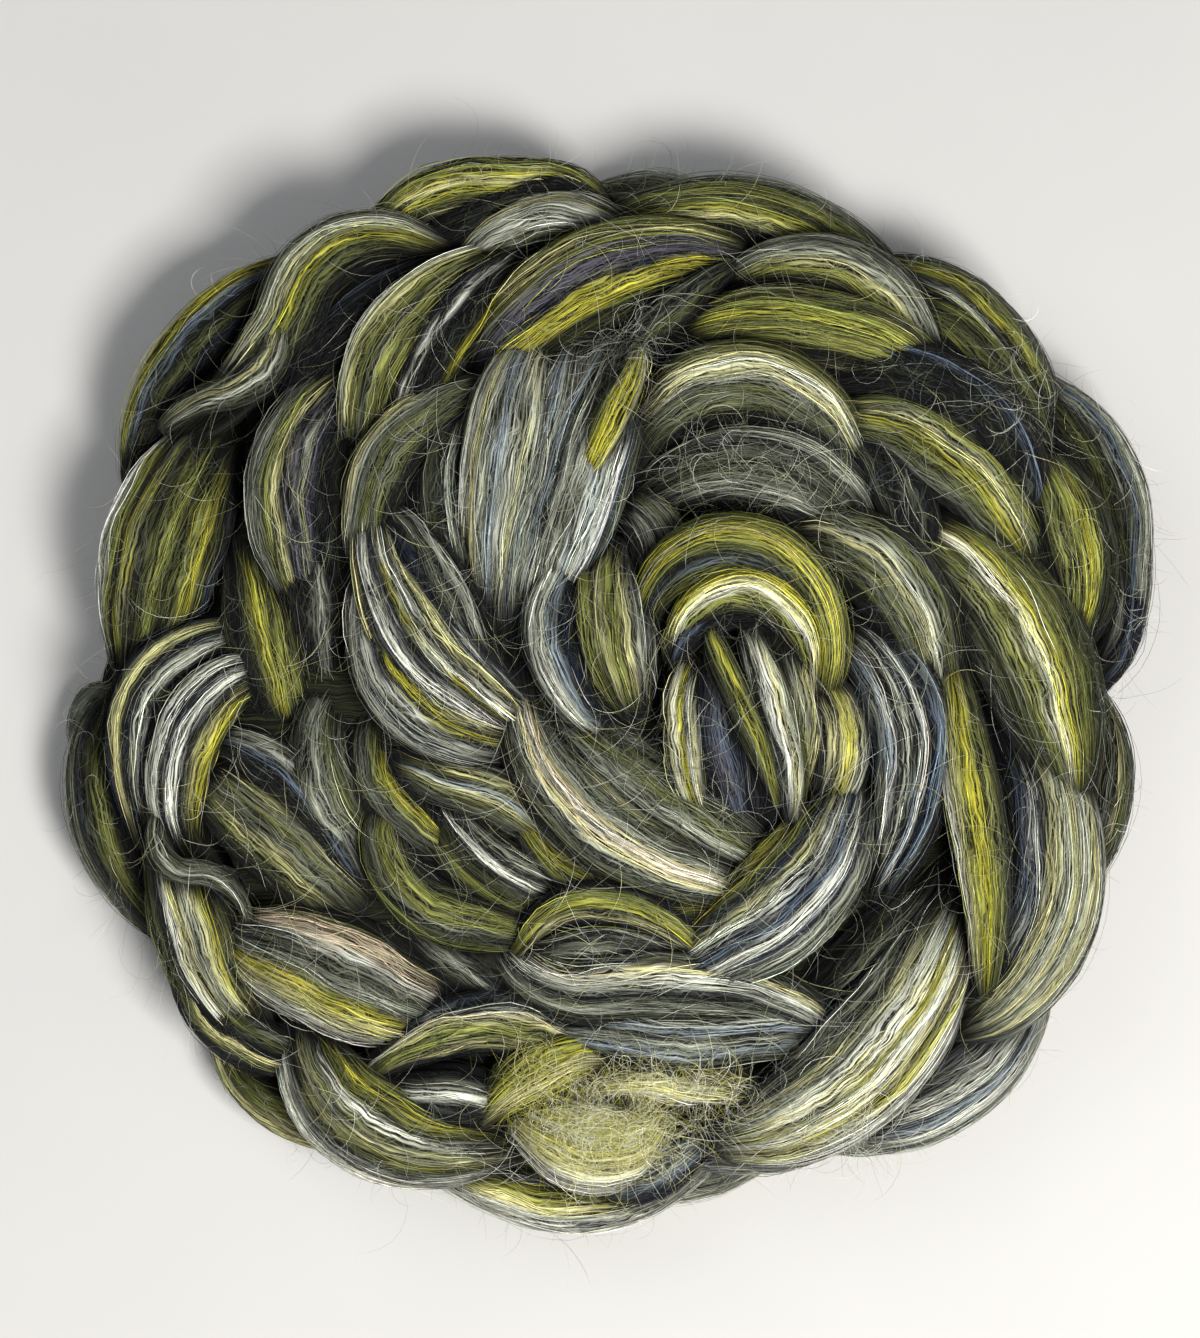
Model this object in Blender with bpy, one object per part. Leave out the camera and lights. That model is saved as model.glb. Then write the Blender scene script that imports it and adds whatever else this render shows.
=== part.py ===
"""A braid of combed wool roving, laid down as a round coil.

One length of roving is looped along itself into a soft plait, and the plait is coiled flat:
a low turn lies on the table, and the upper turns lie on it and close in on the middle.
Every fold of the plait is a tapered bundle with soft ridges, and all of them are one solid.
"""

import math
from collections import namedtuple

import bmesh
import bpy
from mathutils import Vector

MM = 0.001

# Driving sizes, in millimetres.
THICKNESS_SHARE = 0.74  # a fold's thickness, as a share of its width
RIDGES = 7  # ridges round a fold
RIDGE_DEPTH = 0.06  # as a share of the fold's half width
TIP = 0.12  # a fold's width at its ends, as a share of its widest part
FULLNESS = 0.70  # the lower it is, the sooner a fold reaches its full width
TWIST = 0.16  # radians that a fold's ridges turn each way from its middle
BELLY = 1.06  # a fold is a little wider than it shows, because its sides are tucked in
TUCK_REACH = 0.4  # the share of a fold's length over which each end dips
TUCK_CURVE = 1.6  # how late the dip begins
SECTION_POINTS = 42
STEPS_PER_SPAN = 6
VOXEL = 1.15
TRIANGLES = 10200  # before the underside is pressed flat
TABLE_SIDE = 400.0
TABLE_DEPTH = 12.0

# The hidden middle of the coil, under the folds that show.
HEART_RADIUS = 106.0
HEART_LOW = -1.0  # a little under the table top, so that it leaves a flat spot in the middle
HEART_HIGH = 39.0
HEART_SEGMENTS = 48

# The low turn, which lies on the table and is hidden but for its outer edge. Each row is one edge
# of the plait: the radius at which its folds start, how far they bulge from it, and how many.
LOW_TOP = 18.0
LOW_WIDTH = 25.0
LOW_EDGES = ((97, 18, 14), (96, -16, 13), (52, 16, 9), (50, -17, 8), (14, 8, 4))
LOW_OVERLAP = 1.9  # a fold's length, as a share of the step to the next one

ROVING_COLOUR = (0.145, 0.150, 0.062, 1.0)
ROVING_ROUGHNESS = 0.85

Fold = namedtuple("Fold", "name width top tuck_in tuck_out path")

# One row for each fold that shows. width is across its widest part and top is the height of its
# crown. tuck_in and tuck_out are how far its two ends dip under their neighbours. path is its
# middle line as x, y pairs from the middle of the coil. All are in millimetres.
FOLDS = (
    # The outer edge of the upper turn, from the far side, going left.
    Fold("rim_01", 14, 31, 6, 8, ((-63, 114), (-53, 125), (-39, 132), (-23, 133.5), (-7, 133), (5, 125))),
    Fold("rim_02", 15, 32, 6, 6, ((-50, 113), (-38, 121.5), (-23, 127.5), (-8, 129.5), (4, 123))),
    Fold("rim_03", 16, 35, 8, 7, ((-40, 106), (-29, 117), (-14, 123), (0, 122), (10, 117))),
    Fold("rim_04", 18, 39, 6, 9, ((-38, 116), (-57, 119), (-73, 110), (-80, 94), (-92, 80), (-112, 64))),
    Fold("rim_05", 17, 31, 8, 10, ((-70, 116), (-88, 106), (-103, 91), (-114, 74), (-120, 56))),
    Fold("rim_06", 9, 40, 6, 5, ((-81, 108), (-81, 96), (-83, 86), (-90, 79), (-102, 75), (-111, 69))),
    Fold("rim_07", 32, 38, 9, 10, ((-94, 76), (-104, 58), (-110, 40), (-114, 22), (-118, 6))),
    Fold("rim_08", 19, 37, 9, 9, ((-84, 20), (-99, 15), (-112, 5), (-117, -12), (-114, -36))),
    Fold("rim_09", 20, 39, 8, 9, ((-80, 10), (-93, 6), (-103, -6), (-107, -24), (-104, -40))),
    Fold("rim_10", 22, 34, 10, 9, ((-114, -26), (-106, -40), (-101, -56), (-93, -74), (-82, -86))),
    Fold("rim_11", 15, 29, 6, 9, ((-108, -46), (-103, -66), (-94, -80), (-78, -88), (-64, -90))),
    Fold("rim_12", 26, 36, 8, 9, ((-75, -76), (-70, -92), (-59, -104), (-41, -111), (-18, -110))),
    Fold("rim_13", 11, 25, 4, 6, ((18, -114), (34, -113), (50, -111), (68, -106))),
    Fold("rim_14", 33, 44, 8, 8, ((92, -42), (81, -66), (66, -88), (48, -103), (29, -110))),
    Fold("rim_15", 29, 41, 10, 9, ((93, 10), (105, -9), (111, -32), (109, -56), (98, -74), (88, -82))),
    Fold("rim_16", 12, 29, 6, 8, ((133, 42), (133, 26), (129, 12), (119, 0))),
    Fold("rim_17", 22, 44, 7, 5, ((108, 64), (114, 54), (118, 42), (121, 28), (118, 12))),
    Fold("rim_18", 14, 29, 5, 7, ((98, 87), (115, 79), (129, 62), (133, 40), (130, 16), (121, 0))),
    Fold("rim_19", 19, 31, 7, 9, ((100, 86), (113, 74), (124, 56), (129, 34), (129, 16))),
    Fold("rim_20", 17, 34, 7, 9, ((62, 112), (82, 108), (97, 97), (109, 80), (113, 64))),
    Fold("rim_21", 18, 36, 7, 9, ((62, 104), (82, 99), (97, 87), (109, 68), (115, 50))),
    Fold("rim_22", 18, 34, 7, 9, ((-8, 121), (14, 126), (36, 126), (56, 119), (72, 107), (80, 94))),
    Fold("rim_23", 6, 37, 5, 6,
         ((-110, -25), (-111, -34), (-106, -42), (-97, -44), (-90, -49), (-87, -60))),
    # The inner edge of the upper turn, from the far side, going left.
    Fold("band_01", 27, 46, 9, 8, ((-35, 75), (-23, 90), (-7, 103), (15, 112.5), (38, 114))),
    Fold("band_02", 17, 42, 8, 9, ((-18, 116), (-30, 104), (-41, 88), (-48, 70), (-50, 58))),
    Fold("band_03", 19, 42, 8, 9, ((-24, 117), (-42, 104), (-54, 88), (-59, 70), (-58, 54))),
    Fold("band_04", 22, 36, 7, 9, ((-34, 117), (-52, 106), (-68, 92), (-80, 75), (-88, 60))),
    Fold("band_05", 20, 41, 7, 9, ((-58, 88), (-72, 74), (-79, 54), (-76, 34), (-70, 16))),
    Fold("band_06", 17, 38, 7, 9, ((-56, 86), (-63, 68), (-67, 46), (-66, 24), (-62, 6))),
    Fold("band_07", 22, 37, 8, 9, ((-91, 46), (-87, 29), (-83, 14), (-79, 0), (-74, -14))),
    Fold("band_08", 19, 41, 8, 9, ((-66, 8), (-70, -8), (-68, -22), (-60, -34), (-48, -46))),
    Fold("band_09", 13, 42, 8, 8, ((-56, 2), (-58, -12), (-53, -25), (-42, -35), (-28, -42))),
    Fold("band_10", 26, 38, 8, 9, ((-106, -14), (-92, -24), (-77, -36), (-62, -49), (-50, -60))),
    Fold("band_11", 15, 39, 6, 9, ((-102, -8), (-86, -13), (-72, -25), (-61, -42), (-54, -56))),
    Fold("band_12", 31, 42, 8, 9, ((-96, -56), (-80, -62), (-64, -68), (-48, -75), (-32, -79))),
    Fold("band_13", 17, 40, 8, 8, ((-60, -94), (-44, -84), (-26, -80), (-8, -84), (6, -92))),
    Fold("band_14", 17, 34, 6, 7, ((-58, -96), (-44, -97), (-30, -98), (-14, -101))),
    Fold("band_15", 15, 48, 6, 9, ((87, 16), (89, -6), (93, -30), (96, -54), (96, -74))),
    Fold("band_16", 31, 48, 9, 4, ((72, 50), (91, 35), (106, 15), (114, -6), (119, -24))),
    Fold("band_17", 20, 46, 7, 9, ((50, 71), (70, 70), (88, 60), (103, 44), (112, 24))),
    Fold("band_18", 19, 45, 7, 10, ((46, 78), (66, 84), (86, 79), (100, 66), (108, 46), (110, 32))),
    Fold("band_19", 17, 42, 7, 9, ((28, 106), (46, 111), (64, 108), (78, 96), (86, 80))),
    Fold("band_20", 22, 45, 8, 8, ((10, 88), (32, 95), (56, 94), (76, 88), (90, 80))),
    Fold("band_21", 15, 40, 7, 7, ((-10, 80), (6, 89), (22, 89), (36, 80))),
    Fold("band_22", 18, 38, 6, 8, ((-78, 54), (-72, 34), (-69, 14), (-68, -8))),
    Fold("band_23", 20, 37, 7, 8, ((90, -34), (74, -56), (56, -74), (38, -90))),
    Fold("band_24", 10, 43, 7, 7, ((0, 83), (8, 90), (17, 97), (26, 105), (35, 112))),
    # The inner turn, from the middle outwards.
    Fold("coil_01", 10, 52, 6, 7, ((26, 15), (21.5, 4), (20.5, -9), (22, -21), (26, -31))),
    Fold("coil_02", 10, 55, 6, 7, ((35, 21), (38, 11), (43, -3), (47, -18), (48, -32))),
    Fold("coil_03", 19, 57, 10, 9, ((9, 12), (14.5, 26), (23, 33), (34, 35), (47, 29), (55, 13), (55, -3))),
    Fold("coil_04", 12, 58, 9, 9,
         ((17.5, 8), (21, 17), (27.5, 23.3), (36, 25), (45, 21), (51.5, 12.5), (53, 0))),
    Fold("coil_05", 8, 54, 6, 6, ((18, 6), (21.5, 12.5), (27.5, 17.8), (36, 19.5), (44, 16))),
    Fold("coil_06", 20, 53, 8, 8, ((4, 40), (2, 29), (3, 16.5), (6, 5), (9.5, -5))),
    Fold("coil_07", 14, 51, 7, 9, ((-1, 43), (-10, 29), (-12, 13), (-6, -1), (5, -11))),
    Fold("coil_08", 29, 48, 8, 8, ((-18, 5), (-4, -12), (14, -26), (34, -38), (48, -46))),
    Fold("coil_09", 18, 50, 8, 9, ((-22, 12), (-17, -14), (0, -35), (24, -46), (46, -50))),
    Fold("coil_10", 29, 52, 9, 9, ((63, -12), (57, -34), (46, -50), (30, -62), (14, -70))),
    Fold("coil_11", 17, 47, 6, 8, ((47, 5), (55.5, 1.5), (59.5, -9), (58, -22), (52.5, -34))),
    Fold("coil_12", 24, 49, 8, 9, ((52, 24), (67, 12), (76.5, -6), (76, -28), (68, -50))),
    Fold("coil_13", 24, 50, 9, 9, ((43, 43), (60, 39.5), (73, 30), (82, 14), (86, -5))),
    Fold("coil_14", 16, 43, 6, 9, ((56, 76), (67, 66), (76, 50), (80, 32), (80, 16))),
    Fold("coil_15", 21, 50, 9, 9, ((4, 52), (14, 71), (34, 80), (54, 74), (68, 56))),
    Fold("coil_16", 26, 47, 8, 8, ((0, 42), (20, 56), (40, 59), (59, 51), (71, 36))),
    Fold("coil_17", 26, 54, 11, 10, ((7, 93), (1, 75), (-5, 54), (-11, 34), (-16, 14))),
    Fold("coil_18", 30, 53, 11, 9, ((-15, 93), (-19, 78), (-21, 61), (-24, 40), (-26, 8))),
    Fold("coil_19", 17, 46, 6, 9, ((-22, 82), (-40, 73), (-53, 60), (-58, 42), (-58, 26))),
    Fold("coil_20", 19, 46, 7, 9, ((-29, 84), (-37, 66), (-39, 48), (-34, 28), (-28, 10))),
    Fold("coil_21", 15, 50, 8, 8, ((-55, 50), (-47, 40), (-39, 26), (-32, 12), (-26, -2))),
    Fold("coil_22", 24, 53, 8, 9, ((-58, 50), (-52, 28), (-42, 12), (-29, 0), (-16, -8))),
    Fold("coil_23", 21, 50, 8, 9, ((-56, 41), (-55, 17), (-47, 0), (-32, -9), (-14, -12))),
    Fold("coil_24", 14, 44, 6, 8, ((-58, -12), (-42, -19), (-24, -25), (-8, -36), (2, -46))),
    Fold("coil_25", 15, 44, 7, 8, ((-46, -14), (-54, -34), (-46, -49), (-24, -57), (-6, -58))),
    Fold("coil_26", 20, 43, 7, 8, ((-44, -16), (-37, -33), (-25, -44), (-8, -51), (6, -54))),
    Fold("coil_27", 13, 45, 7, 8, ((-26, -14), (-16, -34), (4, -48), (28, -52), (44, -50))),
    Fold("coil_28", 19, 37, 5, 7, ((-58, -48), (-46, -56), (-33, -65), (-18, -74), (-4, -80))),
    Fold("coil_29", 11, 48, 7, 6, ((-22, -64), (-12, -54), (2, -51), (16, -56), (31, -68))),
    Fold("coil_30", 21, 46, 7, 10, ((-28, -58), (-12, -71), (16, -71), (42, -74), (66, -87))),
    Fold("coil_31", 18, 42, 7, 9, ((-28, -80), (-4, -81), (22, -84), (46, -82), (64, -84))),
    Fold("coil_32", 9, 56, 6, 7, ((10, 88), (8, 79), (3, 69), (-1, 60), (-4, 52))),
    Fold("coil_33", 39, 54, 10, 10, ((35, 24), (34, 10), (34, -5), (37, -20), (42, -38))),
    Fold("coil_34", 7, 57, 6, 7, ((26, 20), (28.5, 11), (34, -2), (39.5, -14.5), (44, -28))),
    Fold("coil_35", 10, 44, 5, 6, ((-22, -63), (-9, -61), (5, -60), (19, -63), (33, -70))),
    Fold("coil_36", 21, 52, 9, 9, ((-6, 91), (-8, 76), (-12, 57), (-18, 35), (-22, 10))),
    Fold("coil_37", 17, 46, 6, 6, ((3, 51), (11, 46), (16.5, 34), (16, 16), (13, -4))),
    Fold("coil_38", 10, 52, 7, 7, ((41, 22), (46, 9), (49, -5), (49, -18), (46, -30))),
    # The loose end of the roving, a fluffy tuft on the upper turn.
    Fold("tuft_01", 18, 40, 7, 5, ((-30, -104), (-18, -93), (-6, -87), (8, -88))),
    Fold("tuft_02", 16, 38, 5, 7, ((-6, -96), (10, -92), (24, -94), (42, -98))),
    Fold("tuft_03", 23, 39, 7, 6, ((-24, -101), (-12, -107), (-2, -111), (7, -110), (16, -102))),
    # The low turn, where it shows past the upper one.
    Fold("low_01", 13, 13, 3, 3, ((-9, 128.5), (4, 134), (19, 134.5), (36, 129))),
    Fold("low_02", 22, 22, 5, 7, ((-117, 11), (-124.5, -6), (-124, -24), (-118, -42), (-105, -60))),
    Fold("low_03", 14, 19, 5, 6, ((-98, -80), (-88, -95), (-72, -104), (-54, -106), (-40, -104))),
    Fold("low_04", 15, 25, 7, 7, ((-50, -110), (-27, -121), (-3, -125), (20, -116), (32, -106))),
    Fold("low_05", 14, 31, 6, 6, ((-4, -123), (9, -119), (19, -113), (29, -104))),
    Fold("low_06", 22, 25, 7, 7, ((112, -58), (103, -80), (88, -95), (66, -104), (50, -106))),
    Fold("low_07", 16, 27, 7, 7, ((121, 9), (126.5, -6), (126.5, -22), (120, -41), (107, -59))),
    # The first fold of the low turn, under the middle.
)


def clear_scene():
    for thing in list(bpy.data.objects):
        bpy.data.objects.remove(thing, do_unlink=True)


def section_curve():
    """The ridged oval that every fold is swept from, one unit in half width."""
    data = bpy.data.curves.new("fold_section", "CURVE")
    data.dimensions = "2D"
    spline = data.splines.new("POLY")
    spline.points.add(SECTION_POINTS - 1)
    spline.use_cyclic_u = True
    for index, point in enumerate(spline.points):
        angle = 2 * math.pi * index / SECTION_POINTS
        reach = 1 + RIDGE_DEPTH * math.cos(RIDGES * angle)
        across = reach * math.cos(angle)
        up = reach * math.sin(angle) * THICKNESS_SHARE
        point.co = (across, up, 0, 1)
    section = bpy.data.objects.new("fold_section", data)
    bpy.context.collection.objects.link(section)
    section.hide_render = True
    section.display_type = "WIRE"
    return section


def spread(count):
    """0 at the first of count points, 1 at the last."""
    return [index / (count - 1) for index in range(count)]


def lens(place):
    """How wide a fold is at a place from 0 to 1 along it, as a share of its widest part."""
    return TIP + (1 - TIP) * max(0.0, math.sin(math.pi * place)) ** FULLNESS


def sag(fold, place):
    """How far a fold dips at a place along it, in millimetres."""
    start = fold.tuck_in * max(0.0, 1 - place / TUCK_REACH) ** TUCK_CURVE
    end = fold.tuck_out * max(0.0, 1 - (1 - place) / TUCK_REACH) ** TUCK_CURVE
    return start + end


def fold_curve(fold, section):
    """One fold of the plait, as a tapered and slightly twisted sweep."""
    data = bpy.data.curves.new(fold.name, "CURVE")
    data.dimensions = "3D"
    data.twist_mode = "Z_UP"
    data.resolution_u = STEPS_PER_SPAN
    data.bevel_mode = "OBJECT"
    data.bevel_object = section
    data.use_fill_caps = True
    spline = data.splines.new("BEZIER")
    spline.bezier_points.add(len(fold.path) - 1)
    spline.radius_interpolation = "BSPLINE"
    half = fold.width / 2 * BELLY
    axis = fold.top - half * THICKNESS_SHARE
    for point, place, (x, y) in zip(spline.bezier_points, spread(len(fold.path)), fold.path):
        point.co = Vector((x, y, axis - sag(fold, place))) * MM
        point.radius = half * lens(place) * MM
        point.tilt = TWIST * (2 * place - 1)
        point.handle_left_type = "AUTO"
        point.handle_right_type = "AUTO"
    curve = bpy.data.objects.new(fold.name, data)
    bpy.context.collection.objects.link(curve)
    return curve


def low_turn_folds():
    """The plait's folds on the table: each starts mid-plait and bulges out over one edge."""
    folds = []
    for edge, (radius, bulge, count) in enumerate(LOW_EDGES):
        step = 2 * math.pi / count
        for index in range(count):
            path = []
            for place in spread(5):
                angle = step * (index + LOW_OVERLAP * place)
                out = radius + bulge * math.sin(math.pi * place)
                path.append((out * math.cos(angle), out * math.sin(angle)))
            folds.append(Fold(f"low_{edge}_{index}", LOW_WIDTH, LOW_TOP, -1, 4, tuple(path)))
    return folds


def add_fold(mesh, fold, section):
    """Sweeps a fold and adds its closed surface to the mesh."""
    curve = fold_curve(fold, section)
    graph = bpy.context.evaluated_depsgraph_get()
    swept = bpy.data.meshes.new_from_object(curve.evaluated_get(graph))
    mesh.from_mesh(swept)
    bpy.data.objects.remove(curve, do_unlink=True)


def add_heart(mesh):
    """The hidden middle of the coil, a low round cushion of roving."""
    half_height = (HEART_HIGH - HEART_LOW) / 2
    rows = HEART_SEGMENTS // 2
    made = bmesh.ops.create_uvsphere(mesh, u_segments=HEART_SEGMENTS, v_segments=rows, radius=1.0)
    size = Vector((HEART_RADIUS, HEART_RADIUS, half_height)) * MM
    bmesh.ops.scale(mesh, vec=size, verts=made["verts"])
    lift = Vector((0, 0, (HEART_HIGH + HEART_LOW) / 2)) * MM
    bmesh.ops.translate(mesh, vec=lift, verts=made["verts"])


def applied(thing):
    """A new mesh with the object's modifiers carried out."""
    graph = bpy.context.evaluated_depsgraph_get()
    return bpy.data.meshes.new_from_object(thing.evaluated_get(graph))


def take_mesh(thing, mesh):
    """Gives the object a finished mesh in place of its modifiers."""
    thing.modifiers.clear()
    thing.data = mesh


def fuse(thing):
    """Melts the overlapping folds into one skin."""
    remesh = thing.modifiers.new("melt", "REMESH")
    remesh.mode = "VOXEL"
    remesh.voxel_size = VOXEL * MM
    take_mesh(thing, applied(thing))


def islands(mesh):
    """The faces of each separate shell."""
    left = set(mesh.faces)
    found = []
    while left:
        first = left.pop()
        shell = {first}
        todo = [first]
        while todo:
            for edge in todo.pop().edges:
                for face in edge.link_faces:
                    if face in left:
                        left.remove(face)
                        shell.add(face)
                        todo.append(face)
        found.append(shell)
    return found


def keep_outer_skin(thing):
    """Drops the skins of the small hollows that are shut in between the folds."""
    mesh = bmesh.new()
    mesh.from_mesh(thing.data)
    shells = sorted(islands(mesh), key=len)
    inner = [face for shell in shells[:-1] for face in shell]
    bmesh.ops.delete(mesh, geom=inner, context="FACES")
    mesh.to_mesh(thing.data)
    mesh.free()


def thin_out(thing, triangles):
    """Keeps the shape with about this many triangles."""
    decimate = thing.modifiers.new("thin_out", "DECIMATE")
    decimate.ratio = triangles / (2 * len(thing.data.polygons))
    decimate.use_collapse_triangulate = True
    take_mesh(thing, applied(thing))


def press_flat(thing):
    """Presses the underside flat, where the braid lies on the table."""
    mesh = bmesh.new()
    bmesh.ops.create_cube(mesh, size=1.0)
    size = Vector((TABLE_SIDE, TABLE_SIDE, TABLE_DEPTH)) * MM
    bmesh.ops.scale(mesh, vec=size, verts=mesh.verts)
    bmesh.ops.translate(mesh, vec=Vector((0, 0, -TABLE_DEPTH / 2)) * MM, verts=mesh.verts)
    data = bpy.data.meshes.new("table_top")
    mesh.to_mesh(data)
    mesh.free()
    table = bpy.data.objects.new("table_top", data)
    bpy.context.collection.objects.link(table)
    table.hide_render = True
    table.display_type = "WIRE"
    cut = thing.modifiers.new("press_flat", "BOOLEAN")
    cut.operation = "DIFFERENCE"
    cut.object = table
    take_mesh(thing, applied(thing))
    bpy.data.objects.remove(table, do_unlink=True)


def centre(thing):
    """Moves the braid so that the middle of its extent stands over the origin."""
    xs = [vertex.co.x for vertex in thing.data.vertices]
    ys = [vertex.co.y for vertex in thing.data.vertices]
    middle = Vector(((min(xs) + max(xs)) / 2, (min(ys) + max(ys)) / 2, 0))
    for vertex in thing.data.vertices:
        vertex.co -= middle


def roving_material():
    material = bpy.data.materials.new("wool_roving")
    material.use_nodes = True
    shader = material.node_tree.nodes["Principled BSDF"]
    shader.inputs["Base Color"].default_value = ROVING_COLOUR
    shader.inputs["Roughness"].default_value = ROVING_ROUGHNESS
    shader.inputs["Metallic"].default_value = 0.0
    return material


def roving_braid():
    section = section_curve()
    mesh = bmesh.new()
    for fold in FOLDS + tuple(low_turn_folds()):
        add_fold(mesh, fold, section)
    add_heart(mesh)
    data = bpy.data.meshes.new("roving_braid")
    mesh.to_mesh(data)
    mesh.free()
    bpy.data.objects.remove(section, do_unlink=True)
    braid = bpy.data.objects.new("roving_braid", data)
    bpy.context.collection.objects.link(braid)
    fuse(braid)
    keep_outer_skin(braid)
    thin_out(braid, TRIANGLES)
    press_flat(braid)
    centre(braid)
    braid.data.materials.clear()
    braid.data.materials.append(roving_material())
    braid.data.shade_smooth()


clear_scene()
roving_braid()
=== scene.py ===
import math
from collections import namedtuple

import bpy
import numpy as np
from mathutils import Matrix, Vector


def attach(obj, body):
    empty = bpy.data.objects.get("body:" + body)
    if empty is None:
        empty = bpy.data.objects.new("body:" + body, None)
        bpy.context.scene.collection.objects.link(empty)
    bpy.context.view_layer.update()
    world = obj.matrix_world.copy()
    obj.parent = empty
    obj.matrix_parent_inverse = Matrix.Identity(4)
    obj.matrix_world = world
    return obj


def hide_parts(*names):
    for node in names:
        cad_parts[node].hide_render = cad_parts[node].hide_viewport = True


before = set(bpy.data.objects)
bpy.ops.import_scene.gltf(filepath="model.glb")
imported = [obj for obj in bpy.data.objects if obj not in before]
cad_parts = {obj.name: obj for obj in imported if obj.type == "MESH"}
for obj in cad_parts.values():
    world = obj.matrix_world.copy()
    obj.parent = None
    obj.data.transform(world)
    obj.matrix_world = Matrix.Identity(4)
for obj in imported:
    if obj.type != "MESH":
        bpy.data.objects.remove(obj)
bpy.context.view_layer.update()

# The looks of a coiled braid of combed wool roving. Each fold of the plait is a bent, tapered
# bundle with ridges, dressed with wisps of wool, looser fibres over them and stray hairs on top.

dice = np.random.default_rng(20)

MM = 0.001
DECIMETRE = 100.0
CIRCLE = 2 * math.pi
TINY = 1e-9  # keeps a division by a length of nothing from failing
NODE = "roving_braid"
MIDDLE = np.array((1.816, 3.725, 0.0))  # the middle of the folds' extent, which stands over the origin

# A fold's shape, as in its solid but for its tips.
THICKNESS_SHARE = 0.74  # of its width
BELLY = 1.06  # how far it swells past its stated width
TIP = 0.24  # its width at its ends, blunter than in the solid, so that the ends close up
FULLNESS = 0.70
TWIST = 0.16  # radians that each end is turned
TUCK_REACH = 0.4  # of its length, over which an end is tucked down
TUCK_CURVE = 1.6
LINE_STEPS = 10  # between two points of its middle line

# The bundles that the shown folds and the plain, hidden ones are bent from.
BUNDLE_SIDES = 30
BUNDLE_RINGS = 23
PLAIN_SIDES = 16
PLAIN_RINGS = 12
RIDGE_DEPTH = 0.17  # of its half width, the deepest groove beside a ridge

# The low turn, hidden but for its outer edge: start radius, bulge and number of folds on each edge.
LOW_EDGES = ((97, 18, 14), (96, -16, 13), (52, 16, 9), (50, -17, 8), (14, 8, 4))
LOW_TOP = 18.0
LOW_WIDTH = 25.0
LOW_TUCKS = (-1, 4)
LOW_POINTS = 5
LOW_OVERLAP = 1.9  # steps round the coil that one fold takes
HEART_RADIUS = 104.0
HEART_LOW = 4.0
HEART_HIGH = 38.0
# Painted shade: the share of its dark olive that the heart keeps.
HEART_SHADE = 0.3
HEART_STEPS = (64, 24)  # round it and from its foot to its top

# Dyed and natural wools, as they look by daylight, in sRGB.
WOOLS = {
    "k": (0.030, 0.038, 0.050),  # near black
    "n": (0.085, 0.115, 0.190),  # navy
    "b": (0.400, 0.450, 0.520),  # pale blue grey
    "p": (0.620, 0.675, 0.715),  # pale blue
    "l": (0.400, 0.385, 0.430),  # lilac grey
    "g": (0.430, 0.445, 0.375),  # grey
    "s": (0.725, 0.740, 0.670),  # silver
    "w": (0.955, 0.960, 0.900),  # white
    "c": (0.870, 0.855, 0.610),  # cream
    "t": (0.830, 0.760, 0.640),  # warm beige
    "y": (0.730, 0.710, 0.230),  # bright yellow
    "h": (0.560, 0.575, 0.280),  # chartreuse
    "o": (0.400, 0.415, 0.215),  # olive
    "d": (0.190, 0.200, 0.120),  # dark olive
}

Fold = namedtuple("Fold", "name width top tuck_in tuck_out path wools")

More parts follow.
